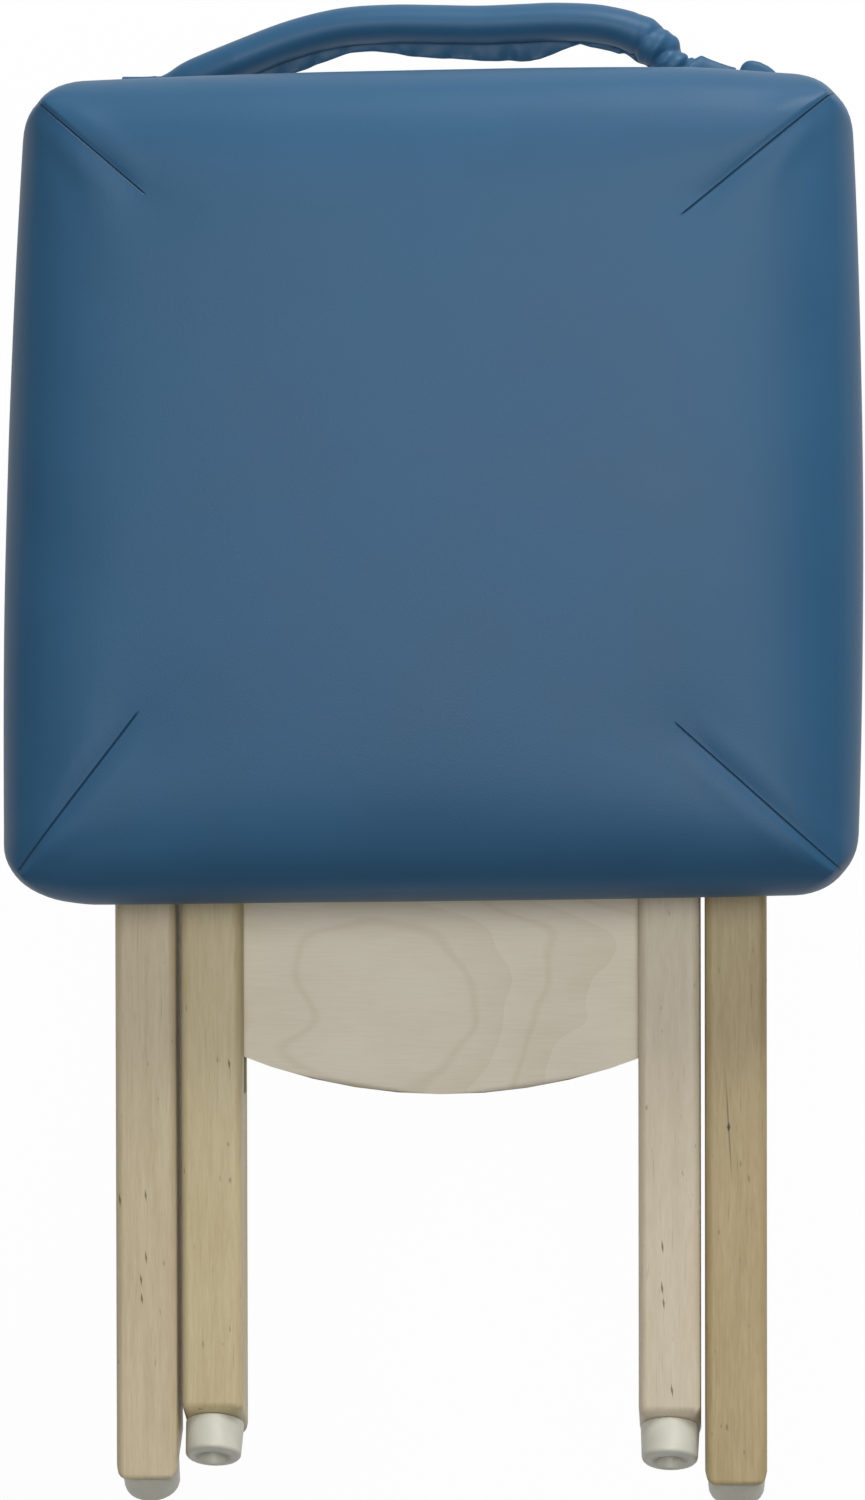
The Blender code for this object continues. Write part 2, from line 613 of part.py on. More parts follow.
def cushion_ring(inset, z, dart):
    """One ring of the cushion at an inset from its outline, with a dip on each corner's dart.

    The sides bow out a little between the corners, and the seat narrows towards the handle.
    """
    half_x = SEAT_WIDTH / 2 - inset
    half_y = SEAT_DEPTH / 2 - inset
    corner = min(SEAT_CORNER + inset / 10, min(half_x, half_y) * 0.8)
    signs = ((1, 1), (-1, 1), (-1, -1), (1, -1))
    arcs = []
    for quarter, (sx, sy) in enumerate(signs):
        arc = []
        for turn in CORNER_TURNS:
            angle = math.radians(turn) + quarter * math.pi / 2
            dip = dart if turn == DART_TURN else 0.0
            x = sx * (half_x - corner) + corner * math.cos(angle)
            y = sy * (half_y - corner) + corner * math.sin(angle)
            arc.append(Vector((x, y, z - dip)))
        arcs.append(arc)
    ring = []
    for quarter, arc in enumerate(arcs):
        ring += arc
        start, end = arc[-1], arcs[(quarter + 1) % 4][0]
        ring += [start.lerp(end, (i + 1) / (SIDE_POINTS + 1)) for i in range(SIDE_POINTS)]
    for point in ring:
        share_x = point.x / (SEAT_WIDTH / 2)
        share_y = point.y / (SEAT_DEPTH / 2)
        point.x += share_x * (EDGE_BOW * (1 - share_y ** 2) - SEAT_NARROWING * share_y)
        point.y += share_y * EDGE_BOW * (1 - share_x ** 2) + SEAT_MIDDLE_Y
    return ring


def cushion_profile():
    """The cover's section from its hem under the board to the crown, as (inset, height) points."""
    hem_z = -COVER_THICKNESS - FIT
    wrap = BOARD_INSET - COVER_THICKNESS - FIT
    rise = CROWN_HEIGHT - RIM_HEIGHT
    shoulder = [(0.014, 0.32), (0.05, 0.58), (0.109, 0.76), (0.216, 0.88)]
    shoulder += [(0.386, 0.95), (0.68, 0.985), (1, 1)]
    profile = [(wrap + HEM_WIDTH, hem_z), (wrap, hem_z), (wrap - HEM_ROUND, hem_z + HEM_ROUND)]
    profile += [(wrap * 0.3, RIM_HEIGHT * 0.45), (0.0, RIM_HEIGHT)]
    profile += [(SHOULDER_REACH * reach, RIM_HEIGHT + rise * lift) for reach, lift in shoulder]
    return profile


def dart_dip(inset, z):
    """Depth of the dart's crease at an inset: it fades in over the rim and out towards the middle."""
    if z < RIM_HEIGHT or not DART_START < inset < DART_LENGTH:
        return 0.0
    share = (inset - DART_START) / (DART_LENGTH - DART_START)
    return DART_DEPTH * math.sin(math.pi * min(1.0, share * 1.6 + 0.2))


def offset_profile(profile, distance):
    """Move a section inwards along its own normals."""
    moved = []
    for i, (inset, z) in enumerate(profile):
        before = Vector(profile[max(i - 1, 0)])
        after = Vector(profile[min(i + 1, len(profile) - 1)])
        along = (after - before).normalized()
        moved.append((inset + distance * along.y, z - distance * along.x))
    return moved


def loft_mesh(rings, close_start, close_end):
    """Skin a stack of rings with quads and close an end with a fan of triangles where asked."""
    grid = bmesh.new()
    rows = [[grid.verts.new(point) for point in ring] for ring in rings]
    count = len(rows[0])
    for low, high in zip(rows, rows[1:]):
        for i in range(count):
            j = (i + 1) % count
            grid.faces.new((low[i], low[j], high[j], high[i]))
    for row, wanted in ((rows[0], close_start), (rows[-1], close_end)):
        if wanted:
            middle = sum((vert.co for vert in row), Vector()) / count
            tip = grid.verts.new(middle)
            for i in range(count):
                grid.faces.new((row[i], row[(i + 1) % count], tip))
    bmesh.ops.recalc_face_normals(grid, faces=grid.faces)
    mesh = bpy.data.meshes.new("loft")
    grid.to_mesh(mesh)
    grid.free()
    return mesh


def build_cushion():
    """The foam pad on the board and the vinyl cover drawn over it and tucked under the board."""
    profile = cushion_profile()
    rings = [cushion_ring(inset, BOARD_RISE + z, dart_dip(inset, z)) for inset, z in profile]
    cover = add_part("seat_cover", loft_mesh(rings, False, True), VINYL, SEAT)
    shell = cover.modifiers.new("shell", "SOLIDIFY")
    shell.thickness = COVER_THICKNESS
    shell.offset = -1
    smooth(cover)
    pad_profile = offset_profile(profile, COVER_THICKNESS + 2 * FIT)
    pad_rings = []
    floor = BOARD_THICKNESS + FIT
    for (inset, z), (pad_inset, pad_z) in zip(profile, pad_profile):
        if pad_z > floor:
            pad_rings.append(cushion_ring(pad_inset, BOARD_RISE + pad_z, dart_dip(inset, z)))
    pad_rings.insert(0, cushion_ring(BOARD_INSET, BOARD_RISE + floor, 0.0))
    smooth(add_part("seat_foam", loft_mesh(pad_rings, True, True), FOAM, SEAT))


def handle_points():
    """The slack loop of the handle in plan, as (x, y) points: slow to climb, steep to fall."""
    start = HANDLE_AXIS_Y
    rise = HANDLE_EDGE_Y + HANDLE_REACH - HANDLE_RADIUS - start
    climb = ((0.0, 0.0), (0.12, 0.13), (0.27, 0.335), (0.48, 0.587), (0.7, 0.82), (0.9, 0.96), (1.0, 1.0))
    fall = ((1.0, 1.0), (0.85, 0.98), (0.66, 0.89), (0.48, 0.65), (0.32, 0.34), (0.15, 0.1), (0.0, 0.0))
    left = HANDLE_LEFT + HANDLE_LEAD
    right = HANDLE_RIGHT - HANDLE_LEAD
    points = [(HANDLE_LEFT, start), (HANDLE_LEFT + HANDLE_LEAD / 2, start)]
    points += [(left + HANDLE_CLIMB * reach, start + rise * lift) for reach, lift in climb]
    top_left = left + HANDLE_CLIMB
    run = (right - HANDLE_FALL - top_left) / RUN_STEPS
    points += [(top_left + run * i, start + rise) for i in range(1, RUN_STEPS)]
    points += [(right - HANDLE_FALL * reach, start + rise * lift) for reach, lift in fall]
    return points + [(HANDLE_RIGHT - HANDLE_LEAD / 2, start), (HANDLE_RIGHT, start)]


def tube_mesh(points, radius):
    """A round rod along plan points at the handle's height, smoothed between them."""
    dense = []
    for i in range(len(points) - 1):
        before = Vector(points[max(i - 1, 0)])
        here, there = Vector(points[i]), Vector(points[i + 1])
        after = Vector(points[min(i + 2, len(points) - 1)])
        for step in range(TUBE_STEPS):
            t = step / TUBE_STEPS
            ease = 3 * t ** 2 - 2 * t ** 3
            leave = (there - before) / 2 * (t - 2 * t ** 2 + t ** 3)
            arrive = (after - here) / 2 * (t ** 3 - t ** 2)
            dense.append(here.lerp(there, ease) + leave + arrive)
    dense.append(Vector(points[-1]))
    curve = bpy.data.curves.new("loop", "CURVE")
    curve.dimensions = "3D"
    curve.bevel_depth = radius
    curve.bevel_resolution = TUBE_STEPS
    curve.use_fill_caps = True
    spline = curve.splines.new("POLY")
    spline.points.add(len(dense) - 1)
    for point, (x, y) in zip(spline.points, dense):
        point.co = (x, y, HANDLE_Z, 1)
    mesh = curve_mesh(curve)
    grid = bmesh.new()
    grid.from_mesh(mesh)
    bmesh.ops.recalc_face_normals(grid, faces=grid.faces)
    grid.to_mesh(mesh)
    grid.free()
    return mesh


def build_handle():
    """The padded carry handle: a core in a vinyl tube, on two tabs screwed under the board."""
    points = handle_points()
    cover = add_part("handle_cover", tube_mesh(points, HANDLE_RADIUS), VINYL, HANDLE)
    past = 2 * HANDLE_RADIUS
    bore_points = [(HANDLE_LEFT - past, HANDLE_AXIS_Y)] + points + [(HANDLE_RIGHT + past, HANDLE_AXIS_Y)]
    cut(cover, tube_mesh(bore_points, HANDLE_RADIUS - HANDLE_WALL), [Matrix.Identity(4)])
    smooth(cover)
    smooth(add_part("handle_core", tube_mesh(points, HANDLE_CORE_RADIUS), FOAM, HANDLE))
    screw = headed_mesh(WOOD_SCREW_RADIUS, TAB_SCREW_LENGTH, WOOD_SCREW_HEAD_RADIUS, WOOD_SCREW_HEAD)
    head_z = TAB_BOTTOM - FIT
    flip = Matrix.Rotation(math.pi, 4, "X")
    places = [Matrix.Translation((x, y, head_z)) @ flip for x, y in tab_places()]
    bore = rod_mesh(WOOD_SCREW_RADIUS + FIT, -TAB_SCREW_LENGTH - FIT, FIT, SCREW_STEPS)
    top = BOARD_RISE - COVER_THICKNESS - 2 * FIT
    for side, (x, y), place in zip(SIDES, tab_places(), places):
        low = (x - TAB_LENGTH / 2, y - TAB_WIDTH / 2, TAB_BOTTOM)
        high = (x + TAB_LENGTH / 2, y + TAB_WIDTH / 2, top)
        tab = add_part(f"handle_tab_{side}", box_mesh(low, high), VINYL, SEAT)
        round_edges(tab, HANDLE_WALL)
        cut(tab, bore, [place])
    add_fasteners("tab_screw", screw, places, STEEL, SEAT)


def rest_on_floor():
    """Move the stool so that its box stands on the origin with the middle of its base there."""
    bpy.context.view_layer.update()
    depsgraph = bpy.context.evaluated_depsgraph_get()
    corners = []
    for part in PARTS.objects:
        if part.type == "MESH":
            mesh = part.evaluated_get(depsgraph).to_mesh()
            corners += [part.matrix_world @ vert.co for vert in mesh.vertices]
    low = [min(corner[i] for corner in corners) for i in range(3)]
    high = [max(corner[i] for corner in corners) for i in range(3)]
    ROOT.location = (-(low[0] + high[0]) / 2, -(low[1] + high[1]) / 2, -low[2])


build_outer_frame()
build_inner_frame()
build_pivots()
build_seat_woodwork()
build_seat_hinge()
build_cushion()
build_handle()
rest_on_floor()
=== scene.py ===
"""Dresses the folding stool: padded vinyl seat, soft carry handle, maple leg frames and moulded feet.

X runs across the stool, +Y towards the carry handle and +Z from the legs up to the cushion, in metres.
"""

import functools
import json
import logging
import math
from dataclasses import dataclass
from enum import Enum
from typing import Any, Optional, Sequence, Union

import bpy
import numpy as np
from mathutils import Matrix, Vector

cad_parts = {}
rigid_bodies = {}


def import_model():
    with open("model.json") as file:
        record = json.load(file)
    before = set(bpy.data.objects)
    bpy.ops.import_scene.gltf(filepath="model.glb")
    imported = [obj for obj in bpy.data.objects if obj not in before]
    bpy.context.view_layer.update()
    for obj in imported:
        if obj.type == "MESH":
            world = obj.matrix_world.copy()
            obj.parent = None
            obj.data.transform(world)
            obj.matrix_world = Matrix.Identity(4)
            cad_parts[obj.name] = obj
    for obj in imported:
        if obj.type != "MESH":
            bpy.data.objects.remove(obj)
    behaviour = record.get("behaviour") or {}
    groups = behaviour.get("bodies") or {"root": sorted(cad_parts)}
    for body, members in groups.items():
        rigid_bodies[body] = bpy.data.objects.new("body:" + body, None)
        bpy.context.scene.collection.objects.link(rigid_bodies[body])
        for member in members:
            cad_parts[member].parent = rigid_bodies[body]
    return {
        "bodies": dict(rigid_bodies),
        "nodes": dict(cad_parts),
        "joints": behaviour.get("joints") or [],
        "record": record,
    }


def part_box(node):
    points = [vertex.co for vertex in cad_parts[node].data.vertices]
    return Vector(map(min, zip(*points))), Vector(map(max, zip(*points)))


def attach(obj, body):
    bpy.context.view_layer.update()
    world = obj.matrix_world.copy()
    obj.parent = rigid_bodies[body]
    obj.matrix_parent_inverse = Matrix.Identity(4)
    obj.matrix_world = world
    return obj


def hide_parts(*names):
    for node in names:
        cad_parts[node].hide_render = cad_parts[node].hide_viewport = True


LOG = logging.getLogger("folding_stool")
Value = Union["Wire", float, int, Sequence[float]]
Point = tuple[float, float]
Points = tuple[Point, ...]
Triple = tuple[float, float, float]
Color = Triple


def tint(color: Color, share: float) -> Color:
    """A colour with each channel times a share."""
    return tuple(share * channel for channel in color)


def assign(thing: Any, /, **values: Any) -> Any:
    """Set attributes of a Blender object.

    Args:
        thing: The object.
        values: Values by attribute.

    Returns:
        The same object.
    """
    for key, value in values.items():
        setattr(thing, key, value)
    return thing


class Side(Enum):
    """The two sides of the stool, with the sign of their X."""

    LEFT = -1
    RIGHT = 1

    @property
    def word(self) -> str:
        """The side's name as it stands in node names."""
        return self.name.lower()


# Shader graphs


class Wire:
    """A shader socket that takes part in plain arithmetic; each operation adds one Math node."""

    def __init__(self, graph: "Graph", socket: bpy.types.NodeSocket) -> None:
        """Wrap an output socket of a graph."""
        self.graph = graph
        self.socket = socket

    def _math(self, operation: str, first: Value, second: Value) -> "Wire":
        """Add a Math node for two values."""
        return self.graph.add("Math", {0: first, 1: second}, operation=operation)

    def __add__(self, other: Value) -> "Wire":
        """Sum."""
        return self._math("ADD", self, other)

    __radd__ = __add__

    def __sub__(self, other: Value) -> "Wire":
        """Difference."""
        return self._math("SUBTRACT", self, other)

    def __rsub__(self, other: Value) -> "Wire":
        """Difference with the wire second."""
        return self._math("SUBTRACT", other, self)

    def __mul__(self, other: Value) -> "Wire":
        """Product."""
        return self._math("MULTIPLY", self, other)

    def __truediv__(self, other: Value) -> "Wire":
        """Quotient."""
        return self._math("DIVIDE", self, other)

    def __abs__(self) -> "Wire":
        """Size without sign."""
        return self._math("ABSOLUTE", self, 0.0)

    def most(self, other: Value) -> "Wire":
        """The larger of two values."""
        return self._math("MAXIMUM", self, other)

    def ramp(self, low: float, high: float, start: float = 0.0, end: float = 1.0) -> "Wire":
        """Ease from start to end while the wire goes from low to high."""
        inputs = {0: self, 1: low, 2: high, 3: start, 4: end}
        return self.graph.add("MapRange", inputs, interpolation_type="SMOOTHSTEP", clamp=True)


class Graph:
    """The node tree of one material or of the world."""

    def __init__(self, owner: Union[bpy.types.Material, bpy.types.World]) -> None:
        """Take over a new owner's tree, with the shader and the output that it starts with.

        Args:
            owner: The material or world.
        """
        owner.use_nodes = True
        self.owner = owner
        self.tree = owner.node_tree

    def add(self, kind: str, inputs: dict[Any, Value], out: Any = 0, **settings: Any) -> Wire:
        """Add any node.

        Args:
            kind: The node's type, without the ShaderNode that it starts with.
            inputs: Values or wires by socket name or number.
            out: Name or number of the output to return.
            settings: The node's settings, set before its inputs.

        Returns:
            The chosen output.
        """
        node = assign(self.tree.nodes.new(f"ShaderNode{kind}"), **settings)
        for key, value in inputs.items():
            self._feed(node.inputs[key], value)
        return Wire(self, node.outputs[out])

    def _feed(self, socket: bpy.types.NodeSocket, value: Value) -> None:
        """Link a wire to a socket, or set a plain value on it."""
        if isinstance(value, Wire):
            self.tree.links.new(value.socket, socket)
        else:
            socket.default_value = value

    def place(self, scale: Sequence[float] = (1, 1, 1), shift: Sequence[float] = (0, 0, 0)) -> Wire:
        """Object coordinates, scaled and shifted."""
        here = self.add("TexCoord", {}, "Object")
        return self.add("Mapping", {"Vector": here, "Location": shift, "Scale": scale})

    def noise(self, where: Wire, scale: float, detail: float = 2.0, rough: float = 0.5) -> Wire:
        """Noise between 0 and 1."""
        inputs = {"Vector": where, "Scale": scale, "Detail": detail, "Roughness": rough}
        return self.add("TexNoise", inputs)

    def mix(self, share: Value, first: Value, second: Value) -> Wire:
        """Mix two colours or wires; share is how much of the second one shows."""
        colors = [value if isinstance(value, Wire) else (*value, 1.0) for value in (first, second)]
        return self.add("Mix", {0: share, 6: colors[0], 7: colors[1]}, 2, data_type="RGBA")

    def dot(self, where: Wire, along: Sequence[float]) -> Wire:
        """Length of a vector along a direction."""
        return self.add("VectorMath", {0: where, 1: along}, "Value", operation="DOT_PRODUCT")

    def part(self, where: Wire, axis: int) -> Wire:
        """One coordinate of a vector."""
        return self.add("SeparateXYZ", {0: where}, axis)

    def ray(self, kind: str) -> Wire:
        """Whether a ray is of a kind, such as Camera."""
        return self.add("LightPath", {}, f"Is {kind} Ray")

    def bump(self, height: Wire, depth: float, before: Optional[Wire] = None) -> Wire:
        """Turn a height in shares into a normal.

        Args:
            height: The height, where 1 stands for depth.
            depth: Height of 1 in metres.
            before: A normal to add to.

        Returns:
            The bumped normal.
        """
        inputs: dict[Any, Value] = {"Height": height, "Distance": depth, "Strength": 1.0}
        if before is not None:
            inputs["Normal"] = before
        return self.add("Bump", inputs)

    def finish(self, shader: str = "Principled BSDF", **sockets: Value) -> bpy.types.ID:
        """Feed a shader that is there; a socket's name is written with _ for a space.

        Args:
            shader: The shader's name.
            sockets: Values or wires by socket.

        Returns:
            The tree's owner.
        """
        for name, value in sockets.items():
            self._feed(self.tree.nodes[shader].inputs[name.replace("_", " ")], value)
        return self.owner


# Finishes


@dataclass(frozen=True)
class Seam:
    """A sewn line on a padded face, seen along Z.

    Attributes:
        start: (x, y) where the line starts at the cushion's edge.
        end: (x, y) where it runs out.
    """

    start: Point
    end: Point

    @property
    def length(self) -> float:
        """Length of the line."""
        return math.dist(self.start, self.end)

    @property
    def along(self) -> Point:
        """Unit direction from start to end."""
        return tuple((b - a) / self.length for a, b in zip(self.start, self.end))

    @property
    def across(self) -> Point:
        """Unit direction to the line's left."""
        return (-self.along[1], self.along[0])


@dataclass(frozen=True)
class VinylFinish:
    """Smooth matte upholstery vinyl with a fine embossed grain and painted shade along its sewn creases.

    Attributes:
        name: The material's name.
        color: Linear colour of the vinyl.
        seams: Sewn lines that show as thin creases, bumped in and darkened with painted shade.
        seam_width: Half width of a crease.
        seam_depth: Depth of a crease.
        seam_shade: Share of the painted shade's dark colour that shows in a crease.
        grain_depth: Depth of the embossed grain.
    """

    name: str
    color: Color = (0.026, 0.094, 0.184)
    seams: tuple[Seam, ...] = ()
    seam_width: float = 0.00032
    seam_depth: float = 0.0006
    seam_shade: float = 0.66
    grain_depth: float = 0.00006

    def _crease(self, graph: Graph, seam: Seam) -> Wire:
        """How deep a point lies in a seam's crease.

        Args:
            graph: The material's graph.
            seam: The sewn line.

        Returns:
            1 on the line, 0 away from it and past its ends.
        """
        here = graph.place()
        along = graph.dot(here, (*seam.along, 0.0)) - float(np.dot(seam.along, seam.start))
        across = graph.dot(here, (*seam.across, 0.0)) - float(np.dot(seam.across, seam.start))
        near = abs(across).ramp(0.0, self.seam_width * 2, 1.0, 0.0)
        inside = along.ramp(0.0, 0.002) * along.ramp(seam.length - 0.004, seam.length, 1.0, 0.0)
        return near * inside

    def build(self) -> bpy.types.Material:
        """Make the material.

        Returns:
            The finished material.
        """
        graph = Graph(bpy.data.materials.new(self.name))
        here = graph.place()
        cloud = graph.noise(here, 14.0, 3.0)
        grain = graph.add("TexVoronoi", {"Vector": here, "Scale": 1400.0}, feature="SMOOTH_F1")
        pores = graph.noise(here, 900.0, 3.0, 0.6)
        color = graph.mix(cloud.ramp(0.3, 0.7), tint(self.color, 0.96), tint(self.color, 1.04))
        normal = graph.bump(grain * 0.5 + pores * 0.5, self.grain_depth)
        creases = [self._crease(graph, seam) for seam in self.seams]
        if creases:
            crease = functools.reduce(Wire.most, creases)
            # Painted shade: the vinyl's colour darkens along each crease where shade would fall in the sewn
            # seam.
            color = graph.mix(crease * self.seam_shade, color, tint(self.color, 0.10))
            normal = graph.bump(1.0 - crease, self.seam_depth, normal)
        rough = 0.40 + cloud * 0.10 + pores * 0.06
        return graph.finish(Base_Color=color, Roughness=rough, Normal=normal, Specular_IOR_Level=0.24)


@dataclass(frozen=True)
class MapleFinish:
    """Clear-lacquered maple whose grain runs along one axis.

    Attributes:
        name: The material's name.
        pale: Linear colour of the pale growth.
        dark: Linear colour of the dark growth.
        knots: Pin knots on the front face as (x, y) points.
        flecks: Short dark flecks on the front face as (x, y) points.
        across: Whether the grain runs across the stool, along X, and not along Y.
        seed: Shift of the pattern, so that each piece has its own.
        knot_color: Linear colour of a knot.
        fleck_color: Linear colour of a fleck.
        grain_depth: Depth of the open grain.
    """

    name: str
    pale: Color = (0.610, 0.515, 0.350)
    dark: Color = (0.500, 0.405, 0.250)
    knots: Points = ()
    flecks: Points = ()
    across: bool = False
    seed: float = 0.0
    knot_color: Color = (0.030, 0.018, 0.010)
    fleck_color: Color = (0.085, 0.055, 0.028)
    grain_depth: float = 0.00010

    def _grain(self, graph: Graph, long: float, wide: float, shift: Sequence[float]) -> Wire:
        """Coordinates scaled by long along the grain and by wide across it."""
        return graph.place((long, wide, wide) if self.across else (wide, long, wide), shift)

    @staticmethod
    def _from_mark(graph: Graph, mark: Point) -> tuple[Wire, Wire]:
        """Distances from a mark across and along the stool."""
        here = graph.place((1, 1, 0), (-mark[0], -mark[1], 0))
        return graph.part(here, 0), graph.part(here, 1)

    def _knot(self, graph: Graph, knot: Point) -> Wire:
        """Darkness of a pin knot and the short split that runs along the grain from it.

        Args:
            graph: The material's graph.
            knot: The knot's (x, y) point.

        Returns:
            1 in the knot, 0 away from it.
        """
        side, along = self._from_mark(graph, knot)
        core = (abs(side) * 5.0 + abs(along) * 1.4).ramp(0.0015, 0.0060, 1.0, 0.0)
        split = abs(side + along * 0.06).ramp(0.0, 0.0006, 1.0, 0.0) * abs(along).ramp(0.008, 0.030, 1.0, 0.0)
        return core.most(split * 0.55)

    def _fleck(self, graph: Graph, fleck: Point) -> Wire:
        """Darkness of a fleck: a thin lens along the grain, broken up by noise."""
        side, along = self._from_mark(graph, fleck)
        ragged = graph.noise(graph.place((900, 260, 900)), 1.0, 2.0)
        return (abs(side + along * 0.10) * 6.0 + abs(along) + ragged * 0.0030).ramp(0.0032, 0.0058, 1.0, 0.0)

    def build(self) -> bpy.types.Material:
        """Make the material.

        Returns:
            The finished material.
        """
        graph = Graph(bpy.data.materials.new(self.name))
        shift = (self.seed, self.seed * 0.7, self.seed * 1.3)
        stretched = self._grain(graph, 1.0, 14.0, shift)
        sway = graph.noise(graph.place((1, 1, 1), shift), 9.0, 2.0)
        bands = graph.noise(stretched, 11.0, 4.0, 0.62)
        fibre = graph.noise(stretched, 70.0, 3.0, 0.7)
        pores = graph.noise(self._grain(graph, 10.0, 300.0, shift), 3.2, 2.0, 0.6)
        specks = graph.noise(self._grain(graph, 44.0, 160.0, shift), 3.0, 1.0)
        tone = bands * 0.46 + fibre * 0.42 + sway * 0.22
        color = graph.mix(tone.ramp(0.36, 0.74), self.pale, self.dark)
        color = graph.mix(pores.ramp(0.66, 0.74) * 0.34, color, tint(self.dark, 0.42))
        color = graph.mix(specks.ramp(0.72, 0.80) * 0.5, color, tint(self.dark, 0.30))
        for knot in self.knots:
            color = graph.mix(self._knot(graph, knot), color, self.knot_color)
        for fleck in self.flecks:
            color = graph.mix(self._fleck(graph, fleck) * 0.75, color, self.fleck_color)
        normal = graph.bump(fibre * 0.6 + pores * 0.4, self.grain_depth)
        rough = 0.40 + fibre * 0.14
        return graph.finish(Base_Color=color, Roughness=rough, Normal=normal, Specular_IOR_Level=0.40)


@dataclass(frozen=True)
class PlywoodFinish:
    """Pale birch plywood: rotary-cut face figure, with the plies showing on the edges.

    Attributes:
        name: The material's name.
        base: Height of the sheet's lower face.
        thickness: The sheet's thickness.
        plies: Number of plies.
        face: Linear colours of the face's pale and dark growth.
        ring: Linear colour of the face's ring lines.
        edge: Linear colours of the plies on the edge.
        grain_depth: Depth of the open grain.
    """

    name: str
    base: float
    thickness: float
    plies: int = 7
    face: tuple[Color, Color] = ((0.800, 0.735, 0.600), (0.690, 0.615, 0.470))
    ring: Color = (0.540, 0.420, 0.260)
    edge: tuple[Color, Color] = ((0.545, 0.452, 0.310), (0.340, 0.245, 0.145))
    grain_depth: float = 0.00008

    def build(self) -> bpy.types.Material:
        """Make the material.

        Returns:
            The finished material.
        """
        graph = Graph(bpy.data.materials.new(self.name))
        here = graph.place()
        sway = graph.noise(graph.place((1.0, 1.6, 1.0), (3.1, 0.4, 0.0)), 7.0, 2.0, 0.4)
        flow = graph.dot(here, (4.0, 9.0, 0.0)) + sway * 7.0
        ring = graph.add("Math", {0: flow}, operation="FRACT")
        line = abs(ring - 0.5).ramp(0.0, 0.09, 1.0, 0.0)
        fibre = graph.noise(graph.place((9.0, 170.0, 60.0)), 6.0, 3.0, 0.65)
        cloud = graph.noise(graph.place((1.0, 2.5, 1.0)), 22.0, 3.0)
        tone = ring * 0.20 + fibre * 0.45 + cloud * 0.45
        face = graph.mix(line * 0.20, graph.mix(tone.ramp(0.25, 0.95), *self.face), self.ring)
        level = (graph.dot(here, (0.0, 0.0, 1.0)) - self.base) * (self.plies / self.thickness)
        saw = graph.add("Math", {0: level * math.pi}, operation="SINE")
        plies = graph.mix(saw.ramp(-0.3, 0.3), *self.edge)
        depth = abs(level / self.plies - 0.5)
        flat = depth.ramp(0.5 - 0.0003 / self.thickness, 0.5 - 0.0001 / self.thickness)
        color = graph.mix(flat, plies, face)
        normal = graph.bump(fibre, self.grain_depth)
        rough = 0.48 + fibre * 0.12
        return graph.finish(Base_Color=color, Roughness=rough, Normal=normal, Specular_IOR_Level=0.35)


@dataclass(frozen=True)
class RubberFinish:
    """Off-white moulded rubber with a slight sheen and a little dirt in its pores.

    Attributes:
        name: The material's name.
        color: Linear colour of the clean rubber.
        pit_depth: Depth of the pores.
    """

    name: str = "moulded_rubber"
    color: Color = (0.600, 0.585, 0.490)
    pit_depth: float = 0.00005

    def build(self) -> bpy.types.Material:
        """Make the material.

        Returns:
            The finished material.
        """
        graph = Graph(bpy.data.materials.new(self.name))
        here = graph.place()
        cloud = graph.noise(here, 90.0, 3.0)
        pits = graph.noise(here, 1500.0, 2.0, 0.6)
        color = graph.mix(cloud.ramp(0.35, 0.75) * 0.5, self.color, tint(self.color, 0.80))
        normal = graph.bump(pits, self.pit_depth)
        return graph.finish(Base_Color=color, Roughness=0.34 + cloud * 0.12, Normal=normal)


@dataclass(frozen=True)
class SteelFinish:
    """Zinc-plated steel with a fine turned finish.

    Attributes:
        name: The material's name.
        color: Linear colour of the plating.
        scratch_depth: Depth of the turning marks.
    """

    name: str = "zinc_steel"
    color: Color = (0.56, 0.56, 0.54)
    scratch_depth: float = 0.00003

    def build(self) -> bpy.types.Material:
        """Make the material.

        Returns:
            The finished material.
        """
        graph = Graph(bpy.data.materials.new(self.name))
        here = graph.place()
        cloud = graph.noise(here, 220.0, 3.0)
        scratch = graph.noise(graph.place((900, 60, 900)), 4.0, 2.0)
        color = graph.mix(cloud.ramp(0.3, 0.7), tint(self.color, 0.82), self.color)
        normal = graph.bump(scratch, self.scratch_depth)
        rough = 0.26 + cloud * 0.16 + scratch * 0.06
        return graph.finish(Base_Color=color, Metallic=1.0, Roughness=rough, Normal=normal)


# Surfaces


